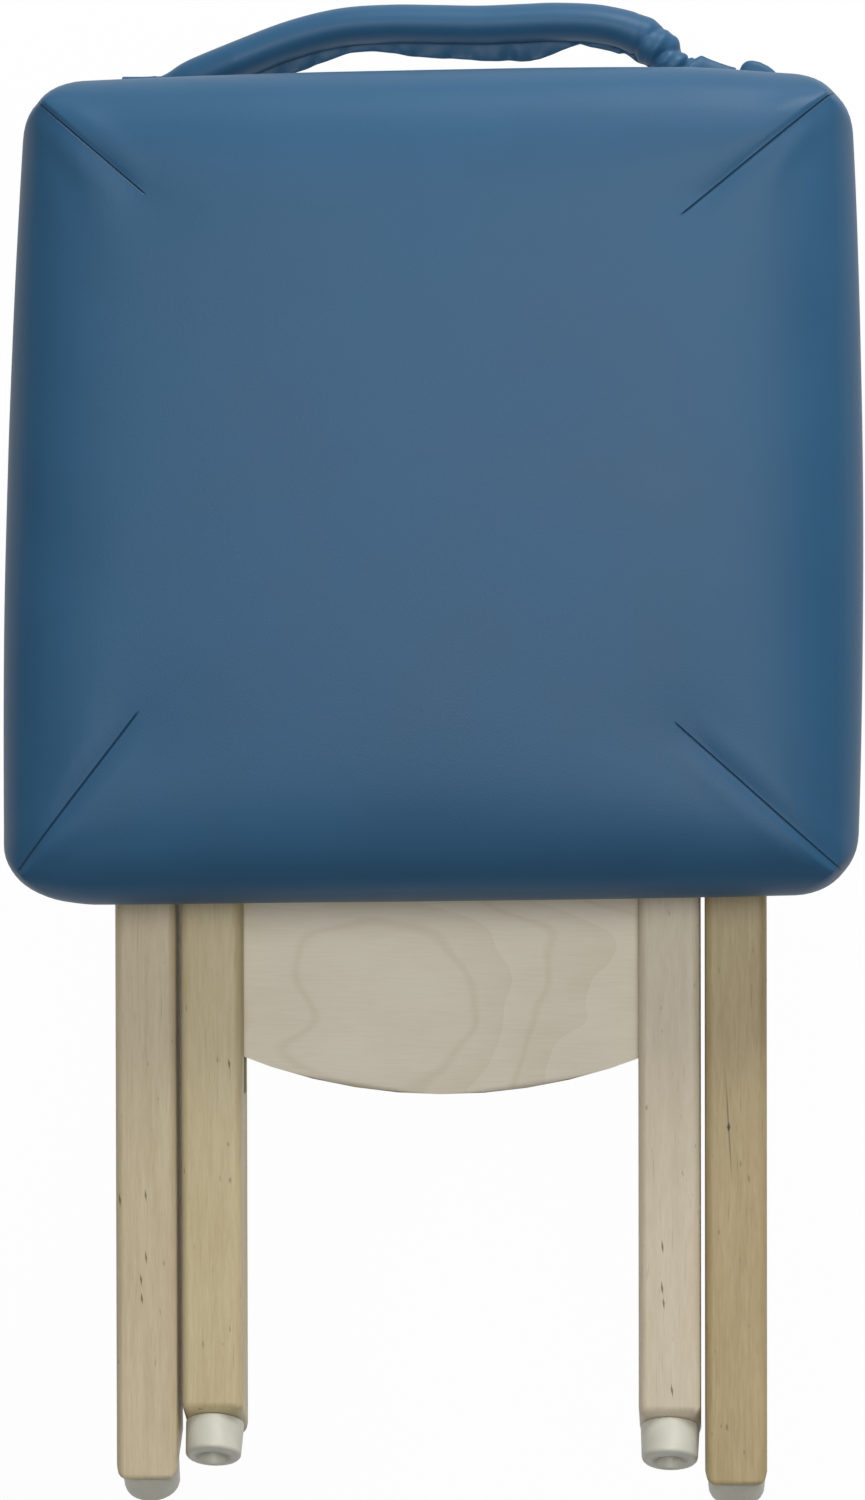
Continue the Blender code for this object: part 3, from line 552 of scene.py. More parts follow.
class Surface:
    """Meshes worked out as whole arrays of points."""

    @staticmethod
    def loft(
        name: str, rows: np.ndarray, wrap: bool = True, close: tuple[bool, bool] = (False, False)
    ) -> bpy.types.Object:
        """Skin rows of points with quads, and close the first or last ring with a fan where asked.

        Args:
            name: The new object's name.
            rows: Points as an array of rows x columns x 3.
            wrap: Whether each row is a closed ring.
            close: Whether the first and the last ring are closed with triangles about their middle.

        Returns:
            The new object, linked to the scene, with its faces outwards if it is closed.
        """
        count, wide = rows.shape[:2]
        index = np.arange(count * wide).reshape(count, wide)
        right = np.roll(index, -1, axis=1) if wrap else index[:, 1:]
        left = index if wrap else index[:, :-1]
        quads = np.stack([left[:-1], right[:-1], right[1:], left[1:]], axis=-1).reshape(-1, 4)
        points = rows.reshape(-1, 3)
        corner = points[quads]
        inward = np.einsum("ij,ij->i", corner[:, 0], np.cross(corner[:, 1], corner[:, 2])).sum() < 0
        faces = (quads[:, ::-1] if inward else quads).tolist()
        for ring, turned in [(index[0], not inward)] * close[0] + [(index[-1], inward)] * close[1]:
            fan = np.stack([ring, np.roll(ring, -1), np.full(wide, len(points))], axis=-1)
            faces += (fan[:, ::-1] if turned else fan).tolist()
            points = np.vstack([points, points[ring].mean(axis=0)])
        mesh = bpy.data.meshes.new(name)
        mesh.from_pydata(points.tolist(), [], faces)
        mesh.update()
        mesh.shade_smooth()
        return Surface.hold(name, mesh)

    @staticmethod
    def hold(name: str, data: bpy.types.ID) -> bpy.types.Object:
        """Put a mesh, lamp or camera into a new object of the scene."""
        piece = bpy.data.objects.new(name, data)
        bpy.context.scene.collection.objects.link(piece)
        return piece

    @staticmethod
    def points(piece: bpy.types.Object) -> np.ndarray:
        """A piece's points as an array of n x 3."""
        flat = np.empty(len(piece.data.vertices) * 3, np.float32)
        piece.data.vertices.foreach_get("co", flat)
        return flat.reshape(-1, 3).astype(float)

    @staticmethod
    def move(piece: bpy.types.Object, points: np.ndarray) -> None:
        """Write a piece's points back."""
        piece.data.vertices.foreach_set("co", points.astype(np.float32).ravel())
        piece.data.update()

    @staticmethod
    def normals(piece: bpy.types.Object) -> np.ndarray:
        """A piece's point normals as an array of n x 3."""
        flat = np.empty(len(piece.data.vertices) * 3, np.float32)
        piece.data.vertex_normals.foreach_get("vector", flat)
        return flat.reshape(-1, 3).astype(float)

    @staticmethod
    def bake(piece: bpy.types.Object) -> None:
        """Apply all of a piece's modifiers to its mesh.

        Args:
            piece: The object, which gets a new mesh.
        """
        bpy.context.view_layer.update()
        depsgraph = bpy.context.evaluated_depsgraph_get()
        mesh = bpy.data.meshes.new_from_object(piece.evaluated_get(depsgraph))
        piece.modifiers.clear()
        piece.data = mesh

    @staticmethod
    def curve(knots: Sequence[Sequence[float]], steps: int) -> np.ndarray:
        """A smooth curve through knots: a Catmull-Rom spline, sampled evenly along its length.

        Args:
            knots: Points of any dimension.
            steps: Number of samples.

        Returns:
            The samples as an array.
        """
        p = np.asarray(knots, float)
        p = np.vstack([2 * p[0] - p[1], p, 2 * p[-1] - p[-2]])
        t = np.linspace(0, 1, 24, endpoint=False)[:, None, None]
        a, b, c, d = p[:-3], p[1:-2], p[2:-1], p[3:]
        cubic = 2 * b + (c - a) * t + (2 * a - 5 * b + 4 * c - d) * t**2 + (3 * b - a - 3 * c + d) * t**3
        dense = np.vstack([(0.5 * cubic).transpose(1, 0, 2).reshape(-1, p.shape[1]), p[-2]])
        reach = np.r_[0, np.cumsum(np.linalg.norm(np.diff(dense, axis=0), axis=1))]
        where = np.linspace(0, reach[-1], steps)
        return np.stack([np.interp(where, reach, column) for column in dense.T], axis=-1)


def angle_from(start: float, angle: np.ndarray) -> np.ndarray:
    """The turn from one angle to another, between -pi and pi."""
    return (angle - start + math.pi) % (2 * math.pi) - math.pi


def ease(value: np.ndarray, low: float, high: float) -> np.ndarray:
    """Smooth step: 0 below low, 1 above high, and 3t^2 - 2t^3 between them."""
    t = np.clip((value - low) / (high - low), 0.0, 1.0)
    return t * t * (3 - 2 * t)


@dataclass
class RigidDress:
    """Shows a CAD node through a copy with its facets shaded round and a better finish.

    Attributes:
        bend: Angle in degrees below which two faces shade as one round face.
        merge: Distance below which points are merged.
    """

    frame: dict[str, Any]
    bend: float = 38.0
    merge: float = 0.00002

    def body_of(self, node: str) -> str:
        """Name of the body that a node belongs to."""
        bodies = self.frame["record"]["behaviour"]["bodies"]
        return next(body for body, nodes in bodies.items() if node in nodes)

    def show(self, node: str, slot: str, material: bpy.types.Material) -> bpy.types.Object:
        """Copy a node's mesh, merge its loose triangles and weigh its normals by face area.

        Args:
            node: The CAD node.
            slot: The record's material slot.
            material: The finish.

        Returns:
            The copy, riding on the node's body in the node's place.
        """
        mesh = self.frame["nodes"][node].data.copy()
        piece = Surface.hold(f"{node}_shown", mesh)
        assign(piece.modifiers.new("weld", "WELD"), merge_threshold=self.merge)
        Surface.bake(piece)
        piece.data.shade_smooth()
        piece.data.set_sharp_from_angle(angle=math.radians(self.bend))
        assign(piece.modifiers.new("weigh", "WEIGHTED_NORMAL"), keep_sharp=True)
        Surface.bake(piece)
        piece.data.materials.clear()
        piece.data.materials.append(material)
        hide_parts(node)
        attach(piece, self.body_of(node))
        return piece


# Padded pieces


@dataclass(frozen=True)
class Stuffing:
    """The pressure simulation that swells the seat.

    Attributes:
        shell: Thickness that closes the cover's copy from within.
        voxel: Size of the copy's even mesh.
        free: Heights over the board's lower face between which the copy comes free.
        sewn: Distance from a dart within which it is held.
        steps: Frames that are simulated.
        cloth: Cloth settings by name.
    """

    shell: float = 0.012
    voxel: float = 0.005
    free: Point = (0.004, 0.022)
    sewn: float = 0.004
    steps: int = 20
    cloth: tuple[tuple[str, Any], ...] = (
        ("quality", 6), ("mass", 0.25), ("tension_stiffness", 22.0), ("compression_stiffness", 18.0),
        ("bending_stiffness", 3.0), ("use_pressure", True), ("uniform_pressure_force", 4.0),
        ("vertex_group_mass", "held"),
    )


@dataclass
class Cushion:
    """The padded seat: a crowned vinyl cover with a sewn dart on each corner, tucked under its board.

    Attributes:
        middle: (x, y) of the seat's middle.
        board: Height of the board's lower face.
        width: Width at the middle.
        depth: Depth from the handle's edge to the far edge.
        narrowing: Half width lost at the handle's edge.
        bow: How far the two sides, the handle's edge and the far edge bow out between the corners.
        skew: How far the hand-pulled cover leans: X by Y, then Y by X at the handle's and at the far edge.
        droop: How far the right corner beside the handle and the left one at the far edge fall short, and the
            share of half the width from which they do.
        corner: Radius of the outline's corners.
        mitre: Rate at which a corner sharpens with the inset.
        fold_radius: Radius of the corners along a dart.
        crown: Radius that the corners gain towards the crown, and the insets between which they do.
        hub: How far inside the outline's corners the mitres turn onto the darts.
        spread: Angle beside the mitre over which the cover turns with it.
        fade: Distances from the hub between which the turn fades in, and out again.
        section: The cover's section as (inset, height over the board's lower face) knots.
        darts: The sewn darts, by corner.
        dip: Depth and half width of a dart's fold.
        fullness: Height of the cover beside a dart, its distance from the dart and its half width.
        rim: Heights over the board's lower face between which the darts begin.
        swell: Most that the simulated stuffing may move a point.
        stuffing: How the stuffing is simulated.
        rows: Rings from the hem to the crown.
        side_points: Points along each side of a ring.
        corner_points: Points round each corner of a ring.
    """

    middle: Point
    board: float
    darts: tuple[Seam, ...]
    width: float = 0.373
    depth: float = 0.366
    narrowing: float = 0.0035
    bow: Triple = (0.0038, 0.0026, 0.0004)
    skew: Triple = (0.0115, 0.0085, 0.0150)
    droop: tuple[Point, Point] = ((0.0031, 0.58), (0.0030, 0.78))
    corner: float = 0.027
    mitre: float = 2.4
    fold_radius: float = 0.0014
    crown: Triple = (0.030, 0.040, 0.085)
    hub: float = 0.006
    spread: float = 0.42
    fade: tuple[Point, Point] = ((0.004, 0.020), (0.10, 0.17))
    section: Points = (
        (0.0094, -0.0016), (0.0076, -0.0016), (0.0056, -0.0012), (0.0036, 0.0008), (0.0022, 0.0050),
        (0.0008, 0.0150), (0.0000, 0.0250), (0.0012, 0.0360), (0.0054, 0.0455), (0.0124, 0.0522),
        (0.0246, 0.0574), (0.0440, 0.0600), (0.0780, 0.0614), (0.1140, 0.0620), (0.1500, 0.0622),
        (0.1780, 0.0622),
    )
    dip: Point = (0.0005, 0.0022)
    fullness: Triple = (0.0004, 0.008, 0.005)
    rim: Point = (0.022, 0.034)
    swell: float = 0.005
    stuffing: Stuffing = Stuffing()
    rows: int = 130
    side_points: int = 96
    corner_points: int = 13

    def _rings(self, inset: np.ndarray) -> np.ndarray:
        """Rounded rectangles at rising insets, whose corners sharpen to a mitre along the darts.

        A ring's corner radius falls from the outline's by the mitre's rate times the inset, stays small along
        the dart and grows again towards the crown.

        Args:
            inset: Inset of each ring.

        Returns:
            Points as an array of rings x columns x 2.
        """
        half = np.stack([self.width / 2 - inset, self.depth / 2 - inset], axis=-1)
        radius = np.maximum(self.corner - self.mitre * np.maximum(inset, 0), self.fold_radius)
        radius = radius + self.crown[0] * ease(inset, *self.crown[1:])
        radius = np.minimum(radius, 0.9 * half.min(axis=-1))
        turn = np.linspace(0, math.pi / 2, self.corner_points)
        run = np.linspace(0, 1, self.side_points + 2)[1:-1]
        corners = []
        for quarter, (sx, sy) in enumerate(((1, 1), (-1, 1), (-1, -1), (1, -1))):
            angle = turn + quarter * math.pi / 2
            centre = np.array([sx, sy]) * (half - radius[:, None])
            arc = np.stack([np.cos(angle), np.sin(angle)], axis=-1)
            corners.append(centre[:, None, :] + radius[:, None, None] * arc[None])
        columns = []
        for here, after in zip(corners, corners[1:] + corners[:1]):
            start, end = here[:, -1:], after[:, :1]
            columns += [here, start + (end - start) * run[None, :, None]]
        return np.concatenate(columns, axis=1)

    def _shape(self, flat: np.ndarray) -> np.ndarray:
        """Bow the edges, narrow and skew the seat and turn each corner's mitre onto its dart.

        Args:
            flat: Plan points about the seat's middle, as an array ending in 2.

        Returns:
            The moved plan points.
        """
        share = flat / np.array([self.width / 2, self.depth / 2])
        moved = flat.copy()
        side, near, far = self.bow
        moved[..., 0] += share[..., 0] * (side * (1 - share[..., 1] ** 2) - self.narrowing * share[..., 1])
        moved[..., 1] += np.where(share[..., 1] > 0, near, far) * share[..., 1] * (1 - share[..., 0] ** 2)
        lean, near_lean, far_lean = self.skew
        moved[..., 0] += lean * flat[..., 1]
        moved[..., 1] += flat[..., 0] * (far_lean + (near_lean - far_lean) * (share[..., 1] + 1) / 2)
        for sign, (fall, start) in zip((1, -1), self.droop):
            corner = ease(sign * share[..., 0], start, 0.93) * ease(sign * share[..., 1], 0.70, 0.97)
            moved[..., 1] -= sign * fall * corner
        for dart in self.darts:
            quadrant = np.sign(np.array(dart.start) - self.middle)
            diagonal = math.atan2(-quadrant[1], -quadrant[0])
            away = moved - quadrant * (np.array([self.width, self.depth]) / 2 - self.hub)
            reach = np.linalg.norm(away, axis=-1)
            off = angle_from(diagonal, np.arctan2(away[..., 1], away[..., 0]))
            weight = np.exp(-((off / self.spread) ** 2))
            weight = weight * ease(reach, *self.fade[0]) * (1 - ease(reach, *self.fade[1]))
            turn = angle_from(diagonal, math.atan2(dart.along[1], dart.along[0])) * weight
            cos, sin = np.cos(turn), np.sin(turn)
            turned = np.stack(
                [away[..., 0] * cos - away[..., 1] * sin, away[..., 0] * sin + away[..., 1] * cos], axis=-1
            )
            moved = moved + turned - away
        return moved

    def _dart_gap(self, flat: np.ndarray) -> tuple[np.ndarray, np.ndarray]:
        """Distance of plan points to the nearest dart, and that dart's strength beside them.

        Args:
            flat: Plan points in the stool's frame, as an array ending in 2.

        Returns:
            The distances, and shares from 0 past a dart's ends to 1 along it.
        """
        gaps, shares = [], []
        for dart in self.darts:
            away = flat - np.array(dart.start)
            along = away @ np.array(dart.along)
            across = away @ np.array(dart.across)
            past = np.maximum(np.maximum(-along, along - dart.length), 0.0)
            gaps.append(np.hypot(across, past))
            shares.append(ease(along, -0.006, 0.006) * (1 - ease(along, dart.length * 0.72, dart.length)))
        nearest = np.argmin(gaps, axis=0)[None]
        gap, share = (np.take_along_axis(np.array(table), nearest, 0)[0] for table in (gaps, shares))
        return gap, share

    def cover(self) -> bpy.types.Object:
        """Loft the cover from its hem under the board to its crown.

        Returns:
            The cover, its crown closed.
        """
        section = Surface.curve(self.section, self.rows)
        plan = self._shape(self._rings(section[:, 0])) + np.array(self.middle)
        height = np.broadcast_to((section[:, 1] + self.board)[:, None, None], plan.shape[:2] + (1,))
        return Surface.loft("seat_upholstery", np.concatenate([plan, height], axis=-1), True, (False, True))

    def stuff(self, cover: bpy.types.Object) -> None:
        """Swell a copy with a pressure simulation held at its hem and darts, and let the cover follow it.

        Args:
            cover: The lofted cover, whose points move.
        """
        scene, setup = bpy.context.scene, self.stuffing
        blank = Surface.hold("stuffing", cover.data.copy())
        assign(blank.modifiers.new("close", "SOLIDIFY"), thickness=setup.shell, offset=-1)
        assign(blank.modifiers.new("remesh", "REMESH"), mode="VOXEL", voxel_size=setup.voxel)
        Surface.bake(blank)
        before = Surface.points(blank)
        gap, share = self._dart_gap(before[:, :2])
        held = 1 - ease(before[:, 2], self.board + setup.free[0], self.board + setup.free[1])
        held = np.maximum(held, share * (gap < setup.sewn))
        group = blank.vertex_groups.new(name="held")
        for level in np.linspace(0.1, 1.0, 10):
            chosen = np.flatnonzero(np.abs(held - level) <= 0.05)
            group.add(chosen.tolist(), float(level), "REPLACE")
        cloth = blank.modifiers.new("cloth", "CLOTH")
        assign(cloth.settings, **dict(setup.cloth))
        cloth.settings.effector_weights.gravity = 0.0
        assign(cloth.point_cache, frame_start=1, frame_end=setup.steps)
        for frame_number in range(1, setup.steps + 1):
            scene.frame_set(frame_number)
        swollen = Surface.hold("swollen", blank.data.copy())
        Surface.bake(blank)
        scene.frame_set(1)
        moved = Surface.points(blank) - before
        size = np.linalg.norm(moved, axis=1, keepdims=True)
        LOG.info("stuffing moved up to %.1f mm", 1000 * float(size.max()))
        follow = assign(cover.modifiers.new("follow", "SURFACE_DEFORM"), target=swollen, falloff=3.0)
        with bpy.context.temp_override(object=cover, active_object=cover, selected_objects=[cover]):
            bpy.ops.object.surfacedeform_bind(modifier=follow.name)
        Surface.move(swollen, before + moved * np.minimum(1.0, self.swell / np.maximum(size, 1e-9)))
        Surface.bake(cover)
        for spare in (blank, swollen):
            bpy.data.objects.remove(spare, do_unlink=True)

    def fold_darts(self, cover: bpy.types.Object) -> None:
        """Draw the cover into its darts: a shallow dip on the line, with a slight fullness beside it.

        Args:
            cover: The cover, whose points move.
        """
        points = Surface.points(cover)
        gap, share = self._dart_gap(points[:, :2])
        top = ease(points[:, 2], self.board + self.rim[0], self.board + self.rim[1]) * share
        height, place, half = self.fullness
        fold = height * np.exp(-(((gap - place) / half) ** 2))
        fold = fold - self.dip[0] * np.exp(-((gap / self.dip[1]) ** 2))
        Surface.move(cover, points + Surface.normals(cover) * (fold * top)[:, None])

    def build(self, material: bpy.types.Material) -> bpy.types.Object:
        """Make the upholstered cover and set it on the seat.

        Args:
            material: The vinyl.

        Returns:
            The finished cover.
        """
        cover = self.cover()
        self.stuff(cover)
        self.fold_darts(cover)
        cover.data.shade_smooth()
        cover.data.materials.append(material)
        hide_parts("seat_cover", "seat_foam")
        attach(cover, "seat")
        return cover


@dataclass
class CarryHandle:
    """The soft carry handle: a stuffed vinyl tube, its sewn edge left as a puckered flap on the inner side.

    Lengths are from the handle's hinge line, with +Y away from the seat.

    Attributes:
        line: (y, z) of the hinge line.
        path: Centre line as (x, y) knots, from the left strap to the right one.
        across: Half width of the section in plan, as (x, value) knots.
        thick: Half thickness of the section, as (x, value) knots.
        flap: How far the flap stands out of the tube, as (x, value) knots.
        gather: Depth of the gathered folds, as (x, value) knots.
        hang: How far below the tube's middle the flap is sewn on.
        wall: Thickness of the flap's two sewn layers.
        gathers: Wave lengths of the gathered folds and of the fine puckers on them.
        waves: Wave lengths of the flap's waves, of their wander and of the fine ones on them.
        rows: Sections along the path.
        round_points: Points round the tube.
        flap_points: Points across each layer of the flap.
    """

    line: Point
    path: Points = (
        (-0.1440, 0.0018), (-0.1300, 0.0018), (-0.1230, 0.0032), (-0.1170, 0.0068), (-0.1090, 0.0117),
        (-0.0875, 0.0205), (-0.0650, 0.0286), (-0.0430, 0.0336), (-0.0210, 0.0349), (0.0000, 0.0345),
        (0.0190, 0.0340), (0.0380, 0.0345), (0.0540, 0.0349), (0.0738, 0.0336), (0.0900, 0.0290),
        (0.1010, 0.0205), (0.1085, 0.0110), (0.1190, 0.0058), (0.1270, 0.0035), (0.1332, 0.0024),
    )
    across: Points = (
        (-0.145, 0.0106), (-0.127, 0.0106), (-0.118, 0.0090), (-0.095, 0.0086), (0.080, 0.0086),
        (0.098, 0.0092), (0.107, 0.0078), (0.114, 0.0122), (0.122, 0.0122), (0.136, 0.0108),
    )
    thick: Points = (
        (-0.145, 0.0032), (-0.132, 0.0040), (-0.112, 0.0086), (-0.092, 0.0108), (0.080, 0.0108),
        (0.100, 0.0086), (0.110, 0.0052), (0.120, 0.0036), (0.136, 0.0032),
    )
    flap: Points = (
        (-0.125, 0.0000), (-0.110, 0.0040), (-0.068, 0.0064), (-0.057, 0.0056), (-0.041, 0.0036),
        (-0.030, 0.0036), (-0.010, 0.0066), (0.010, 0.0073), (0.041, 0.0089), (0.046, 0.0082),
        (0.054, 0.0053), (0.065, 0.0010), (0.070, 0.0023), (0.085, 0.0029), (0.088, 0.0012),
        (0.096, 0.0018), (0.100, 0.0),
    )
    gather: Points = (
        (0.084, 0.0), (0.094, 0.0012), (0.101, 0.0026), (0.108, 0.0022), (0.113, 0.0008), (0.120, 0.0),
    )
    hang: float = 0.0042
    wall: float = 0.0018
    gathers: Point = (0.0215, 0.0062)
    waves: Triple = (0.0175, 0.047, 0.0083)
    rows: int = 320
    round_points: int = 40
    flap_points: int = 8

    def _rows(self) -> np.ndarray:
        """Carry the section along the centre line.

        A section starts at the flap's edge, runs along the flap's upper layer to the tube, round the tube and
        back along the lower layer. The tube is an ellipse of the half sizes across and thick, whose radius
        ripples along the path where the vinyl is gathered. The flap waves more the further it stands out.

        Returns:
            Points as an array of rows x columns x 3.
        """
        line = Surface.curve(self.path, self.rows)
        ahead = np.gradient(line, axis=0)
        ahead /= np.linalg.norm(ahead, axis=1, keepdims=True)
        inner = np.stack([ahead[:, 1], -ahead[:, 0]], axis=-1)
        reach = np.r_[0, np.cumsum(np.linalg.norm(np.diff(line, axis=0), axis=1))]
        tables = (self.across, self.thick, self.flap, self.gather)
        wide, tall, flap, fold = (np.interp(line[:, :1], *np.transpose(knots)) for knots in tables)
        half = self.wall / 2
        slit = np.arcsin(np.clip(half / tall, 0, 0.8))
        drop = np.arcsin(np.clip(self.hang / tall, 0, 0.5)) * ease(flap, 0.0, 0.003)
        share = np.linspace(0, 1, self.round_points)[None]
        angle = slit - drop + share * (2 * math.pi - 2 * slit)
        phase = reach[:, None] * 2 * math.pi
        twist = phase / self.gathers[0] + 0.7 * np.sin(angle + 1.0)
        pucker = 0.15 * np.sin(phase / self.gathers[1] + angle * 2) * fold
        ripple = (np.abs(np.sin(twist)) ** 0.6 - 0.66) * fold + pucker
        in_plan = np.cos(angle) * (wide + ripple)
        upward = np.sin(angle) * (tall + ripple)
        out = np.linspace(1, 0, self.flap_points + 1)[None, :-1]
        root = wide * np.cos(drop)
        far = root + flap * out
        broad, wander, fine = (phase / length for length in self.waves)
        wave = np.sin(broad + 1.1 * np.sin(wander)) + 0.35 * np.sin(fine + 2.0)
        lift = 0.17 * flap * wave * out**1.5
        taper = np.sqrt(np.clip(1 - out**6 * 0.85, 0, 1))
        sewn = lift - tall * np.sin(drop)
        upper = sewn + half * taper
        lower = sewn - half * taper
        plan = np.concatenate([far, in_plan, far[:, ::-1]], axis=1)
        level = np.concatenate([upper, upward, lower[:, ::-1]], axis=1)
        spot = line[:, None, :] + inner[:, None, :] * plan[..., None] + np.array([0.0, self.line[0]])
        return np.concatenate([spot, level[..., None] + self.line[1]], axis=-1)

    def build(self, material: bpy.types.Material) -> bpy.types.Object:
        """Make the handle and set it on its hinge.

        Args:
            material: The vinyl.

        Returns:
            The finished handle.
        """
        handle = Surface.loft("carry_handle", self._rows(), True, (True, True))
        assign(handle.modifiers.new("smooth", "SUBSURF"), levels=1, render_levels=1)
        Surface.bake(handle)
        handle.data.shade_smooth()
        handle.data.materials.append(material)
        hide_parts("handle_cover", "handle_core")
        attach(handle, "handle")
        return handle


@dataclass
class StrapTab:
    """A folded vinyl strap end, screwed up under the seat's board.

    Attributes:
        side: The side it stands on.
        peek: How far its fold reaches past the CAD tab, away from the seat.
        hem: Room left for the cover's hem above it.
        folds: Layers of vinyl that show on its edge.
        edge: Share of the height over which its ends round off.
        taper: Share of the size that the rounding takes.
        crease: Depth of the gaps between the layers, as a share of the size.
        square: Power of the plan's outline: 0 is a rectangle and 1 an ellipse.
        bulge: Half width of the fold that peeks out, as a share of half the tab's width.
        lean: Share of the peek by which that fold leans to the left.
        rows: Rings up the tab.
        columns: Points round a ring.
    """

    side: Side
    peek: float = 0.0
    hem: float = 0.0017
    folds: int = 4
    edge: float = 0.16
    taper: float = 0.22
    crease: float = 0.035
    square: float = 0.48
    bulge: float = 0.78
    lean: float = 0.22
    rows: int = 56
    columns: int = 120

    def build(self, material: bpy.types.Material) -> bpy.types.Object:
        """Loft the tab upwards: rounded rectangles that pull in between the layers of the fold.

        Args:
            material: The vinyl.

        Returns:
            The finished tab.
        """
        node = f"handle_tab_{self.side.word}"
        low, high = (np.array(corner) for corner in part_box(node))
        high[2] -= self.hem
        middle, half = (low + high) / 2, (high - low) / 2
        t = np.linspace(0, 1, self.rows)
        angle = np.linspace(0, 2 * math.pi, self.columns, endpoint=False)
        end = np.clip(np.minimum(t, 1 - t) / self.edge, 0, 1)
        round_off = 1 - self.taper * (1 - np.sqrt(1 - (1 - end) ** 2))
        layer = 1 - self.crease * np.abs(np.cos(math.pi * t * self.folds)) ** 6
        circle = np.stack([np.cos(angle), np.sin(angle)], axis=-1)
        ring = np.sign(circle) * np.abs(circle) ** self.square
        plan = ring[None] * (round_off * layer)[:, None, None] * half[:2] + middle[:2]
        across = (plan[0, :, 0] - low[0]) / half[0]
        bump = np.clip(ring[:, 1], 0, 1) ** 0.5 * np.sqrt(np.clip(1 - (across / self.bulge - 1) ** 2, 0, 1))
        fold = np.stack([-self.lean * bump**2, bump], axis=-1) * self.peek
        plan += fold[None] * ease(t, 0.0, 0.3)[:, None, None]
        level = np.broadcast_to((low[2] + t * (high[2] - low[2]))[:, None, None], plan.shape[:2] + (1,))
        tab = Surface.loft(f"{node}_shown", np.concatenate([plan, level], axis=-1), True, (True, True))
        tab.data.materials.append(material)
        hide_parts(node)
        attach(tab, "seat")
        return tab


# Studio


@dataclass(frozen=True)
class SoftBox:
    """A square lamp.

    Attributes:
        name: The lamp's name.
        place: Where it hangs.
        size: Length of its sides.
        watts: Its power.
    """

    name: str
    place: Triple
    size: float
    watts: float


@dataclass
class Studio:
    """Plain soft light, a white floor and the camera that looks down on the folded stool.

    Attributes:
        eye: The camera's place.
        turn: Its XYZ turn.
        lens: Its focal length on a 36 mm frame.
        sight: How far it sees.
        lamps: The soft boxes.
        aim: The point that they look at.
        floor: Height of the floor.
        span: Half the floor's width.
        paint: Linear colours of the floor's mottle.
        shadow: Share of the floor's own shading that the camera sees.
        air: Linear colour of the room's even light.
        room: Strength of the room's even light.
    """

    eye: Triple = (0.1499, 0.0401, 2.2023)
    turn: Triple = (-0.0170, 0.0702, -0.0020)
    lens: float = 115.44
    sight: float = 60.0
    lamps: tuple[SoftBox, ...] = (
        SoftBox("key", (0.75, 2.3, 1.15), 1.2, 58.0),
        SoftBox("front", (0.15, 0.30, 3.0), 1.4, 46.0),
    )
    aim: Triple = (0.0, 0.05, 0.05)
    floor: float = -0.40
    span: float = 20.0
    paint: tuple[Color, Color] = ((0.80, 0.80, 0.80), (0.84, 0.84, 0.84))
    shadow: float = 0.03
    air: Color = (0.97, 0.99, 1.0)
    room: float = 0.16

    def camera(self) -> None:
        """Set up the camera; its 36 mm frame lies along the picture's long side."""
        data = bpy.data.cameras.new("camera")
        assign(data, lens=self.lens, sensor_width=36.0, sensor_fit="AUTO", clip_end=self.sight)
        camera = Surface.hold("camera", data)
        bpy.context.scene.camera = assign(camera, location=self.eye, rotation_euler=self.turn)

    def lamp(self, box: SoftBox) -> None:
        """Hang a soft box and turn it to the stool.

        Args:
            box: The lamp's data.
        """
        data = bpy.data.lights.new(box.name, "AREA")
        assign(data, shape="SQUARE", size=box.size, energy=box.watts)
        turn = (Vector(box.place) - Vector(self.aim)).to_track_quat("Z", "Y").to_euler()
        assign(Surface.hold(box.name, data), location=box.place, rotation_euler=turn)

    def _whiten(self, graph: Graph, own: Wire) -> Wire:
        """White to the camera and in reflections, except for a share of the surface's own shading."""
        seen = graph.ray("Camera").most(graph.ray("Glossy")).most(graph.ray("Transmission"))
        glow = graph.add("Emission", {"Color": (1, 1, 1, 1), "Strength": 1.0})
        return graph.add("MixShader", {0: seen * (1.0 - self.shadow), 1: own, 2: glow})

    def ground(self) -> None:
        """Lay the floor: a wide sheet, white to the camera apart from a faint shadow."""
        side = np.linspace(-self.span, self.span, 13)
        x, y = np.meshgrid(side, side)
        floor = Surface.loft("floor", np.stack([x, y, np.full_like(x, self.floor)], axis=-1), False)
        graph = Graph(bpy.data.materials.new("floor_paint"))
        mottle = graph.noise(graph.place(), 3.0)
        graph.finish(Base_Color=graph.mix(mottle, *self.paint), Roughness=0.9)
        own = Wire(graph, graph.tree.nodes["Principled BSDF"].outputs[0])
        floor.data.materials.append(graph.finish("Material Output", Surface=self._whiten(graph, own)))

    def sky(self) -> None:
        """Fill the room with even light; the camera sees it white, and so do rays through glass."""
        graph = Graph(bpy.data.worlds.new("room"))
        seen = graph.ray("Camera").most(graph.ray("Transmission"))
        strength = seen.ramp(0.0, 1.0, self.room, 1.0)
        bpy.context.scene.world = graph.finish("Background", Color=(*self.air, 1.0), Strength=strength)

    def build(self) -> None:
        """Set up the view, the camera, the lamps, the floor and the room."""
        bpy.context.scene.view_settings.view_transform = "Standard"
        self.camera()
        for box in self.lamps:
            self.lamp(box)
        self.ground()
        self.sky()


